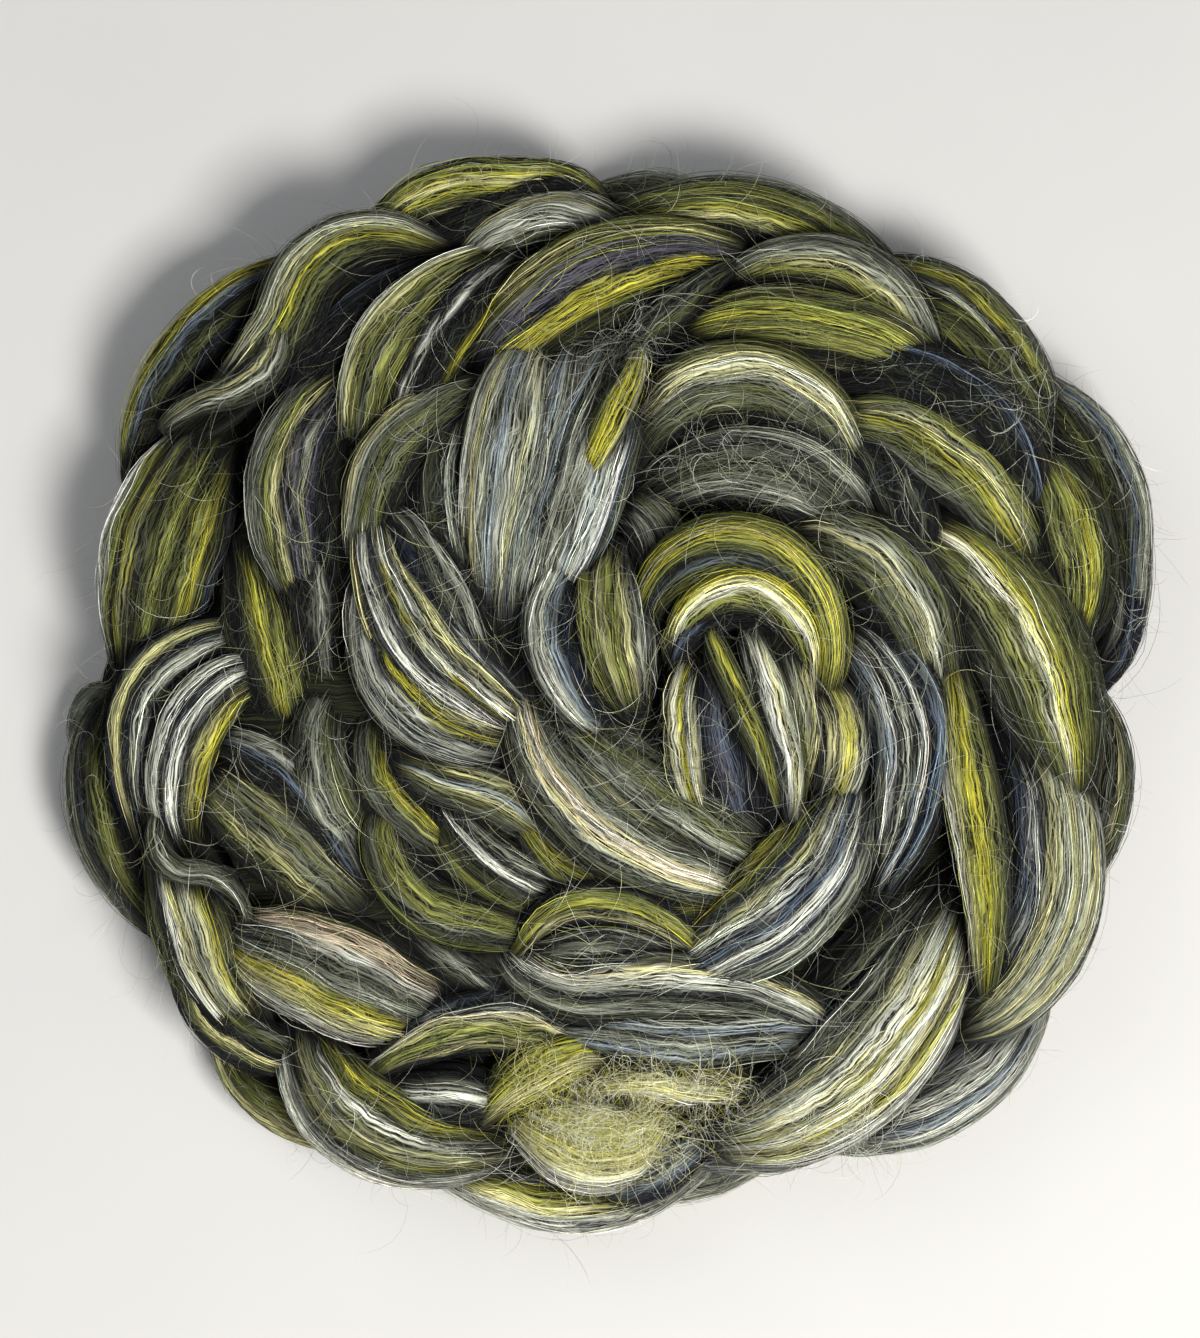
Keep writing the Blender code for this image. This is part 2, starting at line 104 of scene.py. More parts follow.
# One row for each fold: its width, the height of its crown, how far each end is tucked down, its
# middle line as x, y pairs, all in millimetres, and the wools across it from its left to its right.
FOLDS = tuple(Fold(*row) for row in (
    # The outer edge of the upper turn, from the far side, going left.
    ("rim_01", 14, 31, 6, 8,
     ((-63, 114), (-53, 125), (-39, 132), (-23, 133.5), (-7, 133), (5, 125)), "dhhychyhoc"),
    ("rim_02", 15, 32, 6, 6,
     ((-50, 113), (-38, 121.5), (-23, 127.5), (-8, 129.5), (4, 123)), "kkkkkdkkkkkk"),
    ("rim_03", 16, 35, 8, 7, ((-40, 106), (-29, 117), (-14, 123), (0, 122), (10, 117)), "scssgwsogs"),
    ("rim_04", 18, 39, 6, 9,
     ((-38, 116), (-57, 119), (-73, 110), (-80, 94), (-92, 80), (-112, 64)), "kdodhygcsg"),
    ("rim_05", 17, 31, 8, 10, ((-70, 116), (-88, 106), (-103, 91), (-114, 74), (-120, 56)), "kknodkbhy"),
    ("rim_06", 9, 40, 6, 5,
     ((-81, 108), (-81, 96), (-83, 86), (-90, 79), (-102, 75), (-111, 69)), "dgsdcgd"),
    ("rim_07", 32, 38, 9, 10,
     ((-94, 76), (-104, 58), (-110, 40), (-114, 22), (-118, 6)), "bhyhodohdokgykhw"),
    ("rim_08", 19, 37, 9, 9, ((-84, 20), (-99, 15), (-112, 5), (-117, -12), (-114, -36)), "kkgkkwsnkkccnk"),
    ("rim_09", 20, 39, 8, 9, ((-80, 10), (-93, 6), (-103, -6), (-107, -24), (-104, -40)), "yyckkwwnkwsnk"),
    ("rim_10", 22, 34, 10, 9,
     ((-114, -26), (-106, -40), (-101, -56), (-93, -74), (-82, -86)), "cogycsgcwko"),
    ("rim_11", 15, 29, 6, 9,
     ((-108, -46), (-103, -66), (-94, -80), (-78, -88), (-64, -90)), "kkskodkkkcokk"),
    ("rim_12", 26, 36, 8, 9,
     ((-75, -76), (-70, -92), (-59, -104), (-41, -111), (-18, -110)), "khyodwogcokw"),
    ("rim_13", 11, 25, 4, 6, ((18, -114), (34, -113), (50, -111), (68, -106)), "nswwww"),
    ("rim_14", 33, 44, 8, 8,
     ((92, -42), (81, -66), (66, -88), (48, -103), (29, -110)), "wwyccwsywcwsgcgkgsnk"),
    ("rim_15", 29, 41, 10, 9,
     ((93, 10), (105, -9), (111, -32), (109, -56), (98, -74), (88, -82)), "scsgcsgcnnwbbnkgo"),
    ("rim_16", 12, 29, 6, 8, ((133, 42), (133, 26), (129, 12), (119, 0)), "nnbknsnk"),
    ("rim_17", 22, 44, 7, 5, ((108, 64), (114, 54), (118, 42), (121, 28), (118, 12)), "ddhyhohodd"),
    ("rim_18", 14, 29, 5, 7,
     ((98, 87), (115, 79), (129, 62), (133, 40), (130, 16), (121, 0)), "gsgbgsgogsg"),
    ("rim_19", 19, 31, 7, 9, ((100, 86), (113, 74), (124, 56), (129, 34), (129, 16)), "dkodknk"),
    ("rim_20", 17, 34, 7, 9, ((62, 112), (82, 108), (97, 97), (109, 80), (113, 64)), "gohydkslkyk"),
    ("rim_21", 18, 36, 7, 9, ((62, 104), (82, 99), (97, 87), (109, 68), (115, 50)), "kodohdk"),
    ("rim_22", 18, 34, 7, 9,
     ((-8, 121), (14, 126), (36, 126), (56, 119), (72, 107), (80, 94)), "gohodhycodk"),
    ("rim_23", 6, 37, 5, 6,
     ((-110, -25), (-111, -34), (-106, -42), (-97, -44), (-90, -49), (-87, -60)), "gdgsdg"),
    # The inner edge of the upper turn, from the far side, going left.
    ("band_01", 27, 46, 9, 8,
     ((-35, 75), (-23, 90), (-7, 103), (15, 112.5), (38, 114)), "ochollllnyyyyhok"),
    ("band_02", 17, 42, 8, 9, ((-18, 116), (-30, 104), (-41, 88), (-48, 70), (-50, 58)), "hydkkkkwkkk"),
    ("band_03", 19, 42, 8, 9, ((-24, 117), (-42, 104), (-54, 88), (-59, 70), (-58, 54)), "kdhohgohcw"),
    ("band_04", 22, 36, 7, 9, ((-34, 117), (-52, 106), (-68, 92), (-80, 75), (-88, 60)), "kkkkkkkkkkkbkkk"),
    ("band_05", 20, 41, 7, 9, ((-58, 88), (-72, 74), (-79, 54), (-76, 34), (-70, 16)), "knlsklkcohgs"),
    ("band_06", 17, 38, 7, 9, ((-56, 86), (-63, 68), (-67, 46), (-66, 24), (-62, 6)), "kkkkdkkgkk"),
    ("band_07", 22, 37, 8, 9, ((-91, 46), (-87, 29), (-83, 14), (-79, 0), (-74, -14)), "kkdhohyodkkd"),
    ("band_08", 19, 41, 8, 9, ((-66, 8), (-70, -8), (-68, -22), (-60, -34), (-48, -46)), "dgogsgd"),
    ("band_09", 13, 42, 8, 8, ((-56, 2), (-58, -12), (-53, -25), (-42, -35), (-28, -42)), "kyhggk"),
    ("band_10", 26, 38, 8, 9,
     ((-106, -14), (-92, -24), (-77, -36), (-62, -49), (-50, -60)), "nkocgoggcodk"),
    ("band_11", 15, 39, 6, 9, ((-102, -8), (-86, -13), (-72, -25), (-61, -42), (-54, -56)), "ksgwgbkkkk"),
    ("band_12", 31, 42, 8, 9,
     ((-96, -56), (-80, -62), (-64, -68), (-48, -75), (-32, -79)), "dkotttwkgkgsghyyccw"),
    ("band_13", 17, 40, 8, 8, ((-60, -94), (-44, -84), (-26, -80), (-8, -84), (6, -92)), "knkwcohock"),
    ("band_14", 17, 34, 6, 7, ((-58, -96), (-44, -97), (-30, -98), (-14, -101)), "kkgwkk"),
    ("band_15", 15, 48, 6, 9, ((87, 16), (89, -6), (93, -30), (96, -54), (96, -74)), "dohyyhcw"),
    ("band_16", 31, 48, 9, 4, ((72, 50), (91, 35), (106, 15), (114, -6), (119, -24)), "dohohycwohogogd"),
    ("band_17", 20, 46, 7, 9, ((50, 71), (70, 70), (88, 60), (103, 44), (112, 24)), "kohgcoyhdogk"),
    ("band_18", 19, 45, 7, 10,
     ((46, 78), (66, 84), (86, 79), (100, 66), (108, 46), (110, 32)), "kkkbkkkkdkkkkkk"),
    ("band_19", 17, 42, 7, 9, ((28, 106), (46, 111), (64, 108), (78, 96), (86, 80)), "gsgsgcohodk"),
    ("band_20", 22, 45, 8, 8, ((10, 88), (32, 95), (56, 94), (76, 88), (90, 80)), "kodhhyhohhodc"),
    ("band_21", 15, 40, 7, 7, ((-10, 80), (6, 89), (22, 89), (36, 80)), "dkddkk"),
    ("band_22", 18, 38, 6, 8, ((-78, 54), (-72, 34), (-69, 14), (-68, -8)), "kkkskkk"),
    ("band_23", 20, 37, 7, 8, ((90, -34), (74, -56), (56, -74), (38, -90)), "kdkgkdk"),
    ("band_24", 10, 43, 7, 7, ((0, 83), (8, 90), (17, 97), (26, 105), (35, 112)), "dgkkgodk"),
    # The inner turn, from the middle outwards.
    ("coil_01", 10, 52, 6, 7, ((26, 15), (21.5, 4), (20.5, -9), (22, -21), (26, -31)), "sgcwkyywcg"),
    ("coil_02", 10, 55, 6, 7, ((35, 21), (38, 11), (43, -3), (47, -18), (48, -32)), "oscwwks"),
    ("coil_03", 19, 57, 10, 9,
     ((9, 12), (14.5, 26), (23, 33), (34, 35), (47, 29), (55, 13), (55, -3)), "hycyhokbohod"),
    ("coil_04", 12, 58, 9, 9,
     ((17.5, 8), (21, 17), (27.5, 23.3), (36, 25), (45, 21), (51.5, 12.5), (53, 0)), "yyccwhhok"),
    ("coil_05", 8, 54, 6, 6, ((18, 6), (21.5, 12.5), (27.5, 17.8), (36, 19.5), (44, 16)), "nbnkk"),
    ("coil_06", 20, 53, 8, 8, ((4, 40), (2, 29), (3, 16.5), (6, 5), (9.5, -5)), "wsgcohocohd"),
    ("coil_07", 14, 51, 7, 9, ((-1, 43), (-10, 29), (-12, 13), (-6, -1), (5, -11)), "knkpsws"),
    ("coil_08", 29, 48, 8, 8, ((-18, 5), (-4, -12), (14, -26), (34, -38), (48, -46)), "gsgogogsgcsgg"),
    ("coil_09", 18, 50, 8, 9, ((-22, 12), (-17, -14), (0, -35), (24, -46), (46, -50)), "ggsctwtcskgok"),
    ("coil_10", 29, 52, 9, 9,
     ((63, -12), (57, -34), (46, -50), (30, -62), (14, -70)), "sgsnnwwkbbnwwkgcnnooyyh"),
    ("coil_11", 17, 47, 6, 8, ((47, 5), (55.5, 1.5), (59.5, -9), (58, -22), (52.5, -34)), "scyccws"),
    ("coil_12", 24, 49, 8, 9,
     ((52, 24), (67, 12), (76.5, -6), (76, -28), (68, -50)), "kkgbnkwpknskkwpgbkk"),
    ("coil_13", 24, 50, 9, 9, ((43, 43), (60, 39.5), (73, 30), (82, 14), (86, -5)), "dgogscgogod"),
    ("coil_14", 16, 43, 6, 9, ((56, 76), (67, 66), (76, 50), (80, 32), (80, 16)), "kngkkkgk"),
    ("coil_15", 21, 50, 9, 9, ((4, 52), (14, 71), (34, 80), (54, 74), (68, 56)), "ohcscsgogok"),
    ("coil_16", 26, 47, 8, 8, ((0, 42), (20, 56), (40, 59), (59, 51), (71, 36)), "gskgdgsk"),
    ("coil_17", 26, 54, 11, 10, ((7, 93), (1, 75), (-5, 54), (-11, 34), (-16, 14)), "gpwspwgsgskpsg"),
    ("coil_18", 30, 53, 11, 9,
     ((-15, 93), (-19, 78), (-21, 61), (-24, 40), (-26, 8)), "gspwksgcswspgscgws"),
    ("coil_19", 17, 46, 6, 9, ((-22, 82), (-40, 73), (-53, 60), (-58, 42), (-58, 26)), "dkogogsc"),
    ("coil_20", 19, 46, 7, 9, ((-29, 84), (-37, 66), (-39, 48), (-34, 28), (-28, 10)), "kgkskdgk"),
    ("coil_21", 15, 50, 8, 8, ((-55, 50), (-47, 40), (-39, 26), (-32, 12), (-26, -2)), "kskgknk"),
    ("coil_22", 24, 53, 8, 9,
     ((-58, 50), (-52, 28), (-42, 12), (-29, 0), (-16, -8)), "nnwnnccnnwynnnwwnnc"),
    ("coil_23", 21, 50, 8, 9,
     ((-56, 41), (-55, 17), (-47, 0), (-32, -9), (-14, -12)), "cwnnwcnnyynnwgsnwg"),
    ("coil_24", 14, 44, 6, 8, ((-58, -12), (-42, -19), (-24, -25), (-8, -36), (2, -46)), "sgcopcog"),
    ("coil_25", 15, 44, 7, 8, ((-46, -14), (-54, -34), (-46, -49), (-24, -57), (-6, -58)), "kdohohgdo"),
    ("coil_26", 20, 43, 7, 8, ((-44, -16), (-37, -33), (-25, -44), (-8, -51), (6, -54)), "kgskwkdohk"),
    ("coil_27", 13, 45, 7, 8, ((-26, -14), (-16, -34), (4, -48), (28, -52), (44, -50)), "kdohyhok"),
    ("coil_28", 19, 37, 5, 7, ((-58, -48), (-46, -56), (-33, -65), (-18, -74), (-4, -80)), "kgdksgk"),
    ("coil_29", 11, 48, 7, 6, ((-22, -64), (-12, -54), (2, -51), (16, -56), (31, -68)), "kkohhyhkck"),
    ("coil_30", 21, 46, 7, 10, ((-28, -58), (-12, -71), (16, -71), (42, -74), (66, -87)), "dkgkcwwsnkgsgk"),
    ("coil_31", 18, 42, 7, 9, ((-28, -80), (-4, -81), (22, -84), (46, -82), (64, -84)), "ksgkspksgpgk"),
    ("coil_32", 9, 56, 6, 7, ((10, 88), (8, 79), (3, 69), (-1, 60), (-4, 52)), "cyyyo"),
    ("coil_33", 39, 54, 10, 10,
     ((35, 24), (34, 10), (34, -5), (37, -20), (42, -38)), "ossgkknnlllnnbblnnkkgsg"),
    ("coil_34", 7, 57, 6, 7, ((26, 20), (28.5, 11), (34, -2), (39.5, -14.5), (44, -28)), "ohyhod"),
    ("coil_35", 10, 44, 5, 6, ((-22, -63), (-9, -61), (5, -60), (19, -63), (33, -70)), "gskgs"),
    ("coil_36", 21, 52, 9, 9, ((-6, 91), (-8, 76), (-12, 57), (-18, 35), (-22, 10)), "gpwskspws"),
    ("coil_37", 17, 46, 6, 6, ((3, 51), (11, 46), (16.5, 34), (16, 16), (13, -4)), "cwhsgsswc"),
    ("coil_38", 10, 52, 7, 7, ((41, 22), (46, 9), (49, -5), (49, -18), (46, -30)), "cgscc"),
    # The loose end of the roving, a fluffy tuft on the upper turn.
    ("tuft_01", 18, 40, 7, 5, ((-30, -104), (-18, -93), (-6, -87), (8, -88)), "ohyhyccy"),
    ("tuft_02", 16, 38, 5, 7, ((-6, -96), (10, -92), (24, -94), (42, -98)), "wcyhdccw"),
    ("tuft_03", 23, 39, 7, 6, ((-24, -101), (-12, -107), (-2, -111), (7, -110), (16, -102)), "wcywyccw"),
    # The low turn, where it shows past the upper one.
    ("low_01", 13, 13, 3, 3, ((-9, 128.5), (4, 134), (19, 134.5), (36, 129)), "sgsg"),
    ("low_02", 22, 22, 5, 7,
     ((-117, 11), (-124.5, -6), (-124, -24), (-118, -42), (-105, -60)), "kdgknohodng"),
    ("low_03", 14, 19, 5, 6, ((-98, -80), (-88, -95), (-72, -104), (-54, -106), (-40, -104)), "dkohoc"),
    ("low_04", 15, 25, 7, 7, ((-50, -110), (-27, -121), (-3, -125), (20, -116), (32, -106)), "kwhyhyccwww"),
    ("low_05", 14, 31, 6, 6, ((-4, -123), (9, -119), (19, -113), (29, -104)), "nbnbsbn"),
    ("low_06", 22, 25, 7, 7, ((112, -58), (103, -80), (88, -95), (66, -104), (50, -106)), "swpnwswpwwpsgs"),
    ("low_07", 16, 27, 7, 7, ((121, 9), (126.5, -6), (126.5, -22), (120, -41), (107, -59)), "gocdskcgodk"),
    ("low_08", 10, 13, 3, 3, ((-121, 5), (-128, 3.5), (-131.5, -3), (-130.5, -14)), "gbsg"),
    ("low_09", 21, 19, 5, 5, ((-26, 119), (-4, 126), (20, 126.5), (48, 119)), "ogsgodg"),
))
LOW_WOOLS = ("gohodkgs", "nkgsdohk", "ocgokdhg", "kngsgkdo", "dohygcok")

# The wool's finest streaks, curls and relief, which its material paints.
STREAK_SCALE = 6.0  # waves to a decimetre along the fold, as the next two
LOCK_SCALE = 3.5
STRAY_SCALE = 7.0
WAVER_SCALE = (14.0, 9.0, 1.0)  # waves to a decimetre along and round the fold
WAVER = 0.005  # how far the streaks swing to the side, in decimetres
STRAY_WAVER = 0.02  # how far stray fibres do
STRAY_TURNS = (0.11, -0.13)  # radians by which stray fibres cross the streaks
STRAY_WOOL = (0.29, 0.31, 0.27)  # what they add to the colour under them, scaled by the painted shade of their place
STRAY_LIFT = 1.5  # how much brighter than the shaded colour under them they are
STRAY_SHARE = 0.60  # how thickly they cover it
FRIZZ_SCALES = (210.0, 330.0)  # waves to a metre
FRIZZ_WIDTH = 0.016  # of the noise's whole range
PATCH_SCALE = 60.0  # waves to a metre of the places where frizz is thin or thick
PATCHES = (0.05, 0.8)  # how much of it shows in them
ROUGHNESS = (0.60, 0.88)
NOISE_RUN = (0.3, 0.7)  # the values that noise mostly has
STREAK_RUN = (0.40, 0.62)  # the part of them that each pattern uses
LOCK_RUN = (0.36, 0.60)
STRAY_RUN = (0.60, 0.68)
PATCH_RUN = (0.42, 0.62)

# How loose wool is laid on a fold. per_mm is wisps for each millimetre of its girth, together the
# fibres in a wisp and spread how far apart they lie. shortest and longest are shares of the fold's
# length, wide is a fibre's half width, low, high and bow are how far it lies off the fold and
# arches up. drift and sway turn it round the fold, stray moves its wool from its stripe, mixed is
# the share of the fold's other wools, and tone and grain are how uneven wisps and fibres are.
Lay = namedtuple(
    "Lay", "per_mm together spread shortest longest wide low high bow drift sway stray mixed tone grain")
WISPS = Lay(
    per_mm=1.9, together=5, spread=0.40, shortest=0.20, longest=0.80, wide=(0.05, 0.11), low=0.02,
    high=0.60, bow=0.25, drift=0.20, sway=0.04, stray=0.04, mixed=0.06, tone=0.28, grain=0.36)
LOOSE = Lay(
    per_mm=3.4, together=1, spread=0.00, shortest=0.12, longest=0.50, wide=(0.035, 0.070), low=0.30,
    high=0.85, bow=0.50, drift=0.55, sway=0.12, stray=0.14, mixed=0.18, tone=0.10, grain=0.46)

# How the fibres of one wisp differ from each other, and how wisps run on a fold.
FIBRE_LENGTHS = (0.7, 1.0)  # shares of their wisp's length
FIBRE_SLIP = 0.03  # of the fold's length
FIBRE_DRIFT = 0.25  # of their wisp's drift
FIBRE_HUE = 0.04  # how far its colour strays
FIRST_START, LAST_START = 0.01, 0.85  # shares of the fold's length
FIRST_END, LAST_END = 0.15, 0.99
SWAY_BEATS = (0.5, 2.2)  # waves of it along the whole fold
CRIMP_SHARES = (0.3, 1.3)  # of the fold's crimp
CRIMP_SLIPS = (0.012, 0.02)  # of a fibre and of its wisp, along the fold

# How strands are made.
LOOKS = 26  # places along a strand where it is asked whether it shows
LEAST_LOOKS = 4  # that have to show
TAPER_CURVE = 0.4
TAPER_TIP = 0.2  # a strand's width at its ends, as a share of its widest
STRAND_POINTS = (5, 8, 11, 15, 20, 26)
STRAND_STEP = 4.2  # millimetres between a strand's points
STRAND_SIDES = 3
STRAND_SIDE_STEP = 0.1  # millimetres of the lay from one side to the next
TABLE_GAP = 0.2  # the least height of a strand over the table, in millimetres
STRAND_TRIANGLES = 562000  # in all the loose wool

# How far the lay is moved at random, in millimetres, so that no two look alike.
LAY_SHIFT = 400
STRAND_SHIFT = 900

# The wool's crimp: how far it swings and how long a wave is, in millimetres.
CRIMPS = (((0.05, 0.16), (7.0, 11.0)), ((0.25, 0.65), (16.0, 30.0)), ((0.02, 0.05), (3.8, 5.0)))
CRIMP_SLANT = 2.5  # radians by which a wave may run ahead round the fold

# Loose hairs: how long they are, how much they curl, how far they rise and half how wide they are,
# their wools, the points of each, and the share of their start's height that they keep where
# nothing lies under them.
Hair = namedtuple("Hair", "long curl lift wide wools points hold")
STRAY_HAIR = Hair((9, 26), 0.20, (0.1, 1.0), (0.022, 0.042), "sgcogsbw", 9, 1.0)
HALO_HAIR = Hair((4, 12), 0.24, (0.0, 1.5), (0.022, 0.040), "gsgsgwo", 8, 0.9)
# Its curl and wools are those of each fuzzy place.
FUZZ_HAIR = Hair((7, 20), 0.0, (0.2, 2.2), (0.025, 0.045), "", 9, 1.0)
HAIR_GAP = 0.25  # millimetres between a hair and what it lies on
HAIR_EASINGS = 3  # rounds of smoothing of its height, so that it spans the gaps between folds
HAIR_TIP = 0.05  # radians of the half round that its taper leaves out at each end
HAIR_TONE = 0.2  # how unevenly bright hairs are
CURL_CHANGE = 0.3  # how unevenly a hair curls

# Fuzzy places: their middle, their half extents, the hairs in them, how curly those are and
# their wools.
FUZZ = (
    (37, 58, 24, 12, 200, 0.26, "gsgksw"),
    (3, -106, 17, 10, 1000, 0.42, "cwywcyc"),
    (26, -98, 14, 6, 160, 0.36, "cwwyc"),
    (-14, -97, 9, 8, 160, 0.36, "yhcc"),
    (6, 88, 10, 7, 130, 0.26, "gsgws"),
    (12, -20, 18, 13, 150, 0.24, "gsgd"),
    (62, -108, 16, 5, 150, 0.30, "gswwc"),
    (104, 78, 8, 8, 60, 0.26, "gsgsw"),
)
FUZZ_SPREAD = 0.5  # of the half extents, how far from the middle most hairs start
HAIR_TRIANGLES = 275000  # in all the loose hairs
STRAYS = 2700
STRAY_ANGLE = 0.38  # radians by which hairs leave the way the wool runs
STRAY_STARTS = (0.08, 0.88)  # shares of the fold's length
HEADING_STEP = 0.02  # of the fold's length, over which that way is read
HALO = 700  # hairs round the outline
HALO_DEPTH = (1.5, 7)  # how far inside it they start, in millimetres
HALO_LOW = 6  # the least height that they start at
HALO_TURN = (0.6, 1.5)  # radians by which they turn from straight outwards

FIELD = 340  # millimetres across the map of heights
FIELD_LOOKS = (90, 110)  # places along and round each fold that it is made from
BEARINGS = 180  # steps round the outline
SEEN_DEPTH = 1.7  # under the top of the braid, where wool still shows from above
SEEN_EDGE = 11  # inside the outline, where it still shows from the side
SEEN_OUTWARD = 0.15  # how far its skin has to face outwards for that
SEEN_LOW = 1.5  # and how high over the table it has to lie
OPEN_BEARINGS = 12  # ways in which openness is looked for
OPEN_REACHES = (1.6, 3.2, 5.5, 9.0, 14.0)  # millimetres away where folds may rise over it
DARKEST = 0.03  # of its colour that wool keeps where it lies deepest, the darkest painted shade
CLOSED = 0.44  # openness at which the painted shade is darkest
OPEN = 0.93  # openness at which wool keeps its whole colour, free of painted shade
SIDE_LIGHT = 0.60  # of its colour that wool keeps at least, low down on the outside of the braid, where the painted shade is eased
SIDE_REACH = 26.0  # how far in from the outline that reaches, in millimetres
SIDE_TOP = 25.0  # the height over the table at which it ends
SIDE_BLEND = 12.0  # millimetres of height over which it fades out
END_SHADE = 0.17  # of its colour that wool keeps where a fold's end is tucked down, a painted shade
END_REACH = 0.17  # of the fold's length
UNDER_SHADE = 0.52  # of their colour that the folds keep under their wisps, a painted shade
MOST_TRIANGLES = 195000  # in one piece


def clear_selection():
    if bpy.context.mode != "OBJECT":
        bpy.ops.object.mode_set(mode="OBJECT")
    bpy.ops.object.select_all(action="DESELECT")


def linear(colour):
    """An sRGB colour as the linear values that shaders work in."""
    colour = np.asarray(colour, float)
    low = colour / 12.92
    high = ((colour + 0.055) / 1.055) ** 2.4
    return np.where(colour <= 0.04045, low, high)


WOOL_LINEAR = {letter: linear(colour) for letter, colour in WOOLS.items()}


# ---------------------------------------------------------------- camera, floor and light

VIEW_ELEVATION = math.radians(83)
VIEW_DISTANCE = 1.25
SENSOR = 36.0
PICTURE_HEIGHT = 1338
PICTURE_SCALE = 0.25  # millimetres to a pixel at the height of the folds' crowns
AIM = (Vector((0.0, 7.75, 36.0)) - Vector(MIDDLE)) * MM
FLOOR_SIZE = 6.0
FLOOR_COLOURS = ((0.60, 0.59, 0.57, 1), (0.66, 0.65, 0.63, 1))
SKY_COLOUR = (0.9, 0.93, 1.0, 1)
SKY_STRENGTH = 0.205


def set_camera():
    data = bpy.data.cameras.new("camera")
    data.sensor_width = SENSOR
    data.lens = SENSOR * VIEW_DISTANCE / (PICTURE_HEIGHT * PICTURE_SCALE * MM)
    camera = bpy.data.objects.new("camera", data)
    back = Vector((0, -math.cos(VIEW_ELEVATION), math.sin(VIEW_ELEVATION)))
    camera.location = AIM + back * VIEW_DISTANCE
    camera.rotation_euler = (math.pi / 2 - VIEW_ELEVATION, 0, 0)
    bpy.context.collection.objects.link(camera)
    bpy.context.scene.camera = camera


def area_light(name, place, size, power, colour):
    """A soft square light, turned to the middle of the braid."""
    data = bpy.data.lights.new(name, "AREA")
    data.size = size
    data.energy = power
    data.color = colour
    light = bpy.data.objects.new(name, data)
    light.location = place
    light.rotation_euler = Vector(place).to_track_quat("Z", "Y").to_euler()
    bpy.context.collection.objects.link(light)


def set_light():
    area_light("key", (0.50, -0.60, 1.15), size=0.50, power=25.0, colour=(1.0, 0.985, 0.955))
    area_light("fill", (-0.8, 0.5, 0.9), size=1.0, power=4.0, colour=(0.95, 0.97, 1.0))
    world = bpy.data.worlds.new("studio")
    world.use_nodes = True
    sky = world.node_tree.nodes["Background"]
    sky.inputs["Color"].default_value = SKY_COLOUR
    sky.inputs["Strength"].default_value = SKY_STRENGTH
    bpy.context.scene.world = world
    bpy.context.scene.view_settings.view_transform = "Standard"


def floor_material():
    material = bpy.data.materials.new("pale_floor")
    material.use_nodes = True
    nodes = material.node_tree.nodes
    links = material.node_tree.links
    shader = nodes["Principled BSDF"]
    place = nodes.new("ShaderNodeTexCoord")
    noise = nodes.new("ShaderNodeTexNoise")
    noise.inputs["Scale"].default_value = 9.0
    noise.inputs["Detail"].default_value = 6.0
    tone = nodes.new("ShaderNodeMix")
    tone.data_type = "RGBA"
    tone.inputs["A"].default_value, tone.inputs["B"].default_value = FLOOR_COLOURS
    links.new(place.outputs["Object"], noise.inputs["Vector"])
    links.new(noise.outputs["Fac"], tone.inputs["Factor"])
    links.new(tone.outputs["Result"], shader.inputs["Base Color"])
    shader.inputs["Roughness"].default_value = 0.7
    return material


def lay_floor():
    clear_selection()
    bpy.ops.mesh.primitive_plane_add(size=FLOOR_SIZE, location=(0, 0, 0))
    floor = bpy.context.object
    floor.name = "floor"
    floor.data.materials.append(floor_material())


# ---------------------------------------------------------------- materials

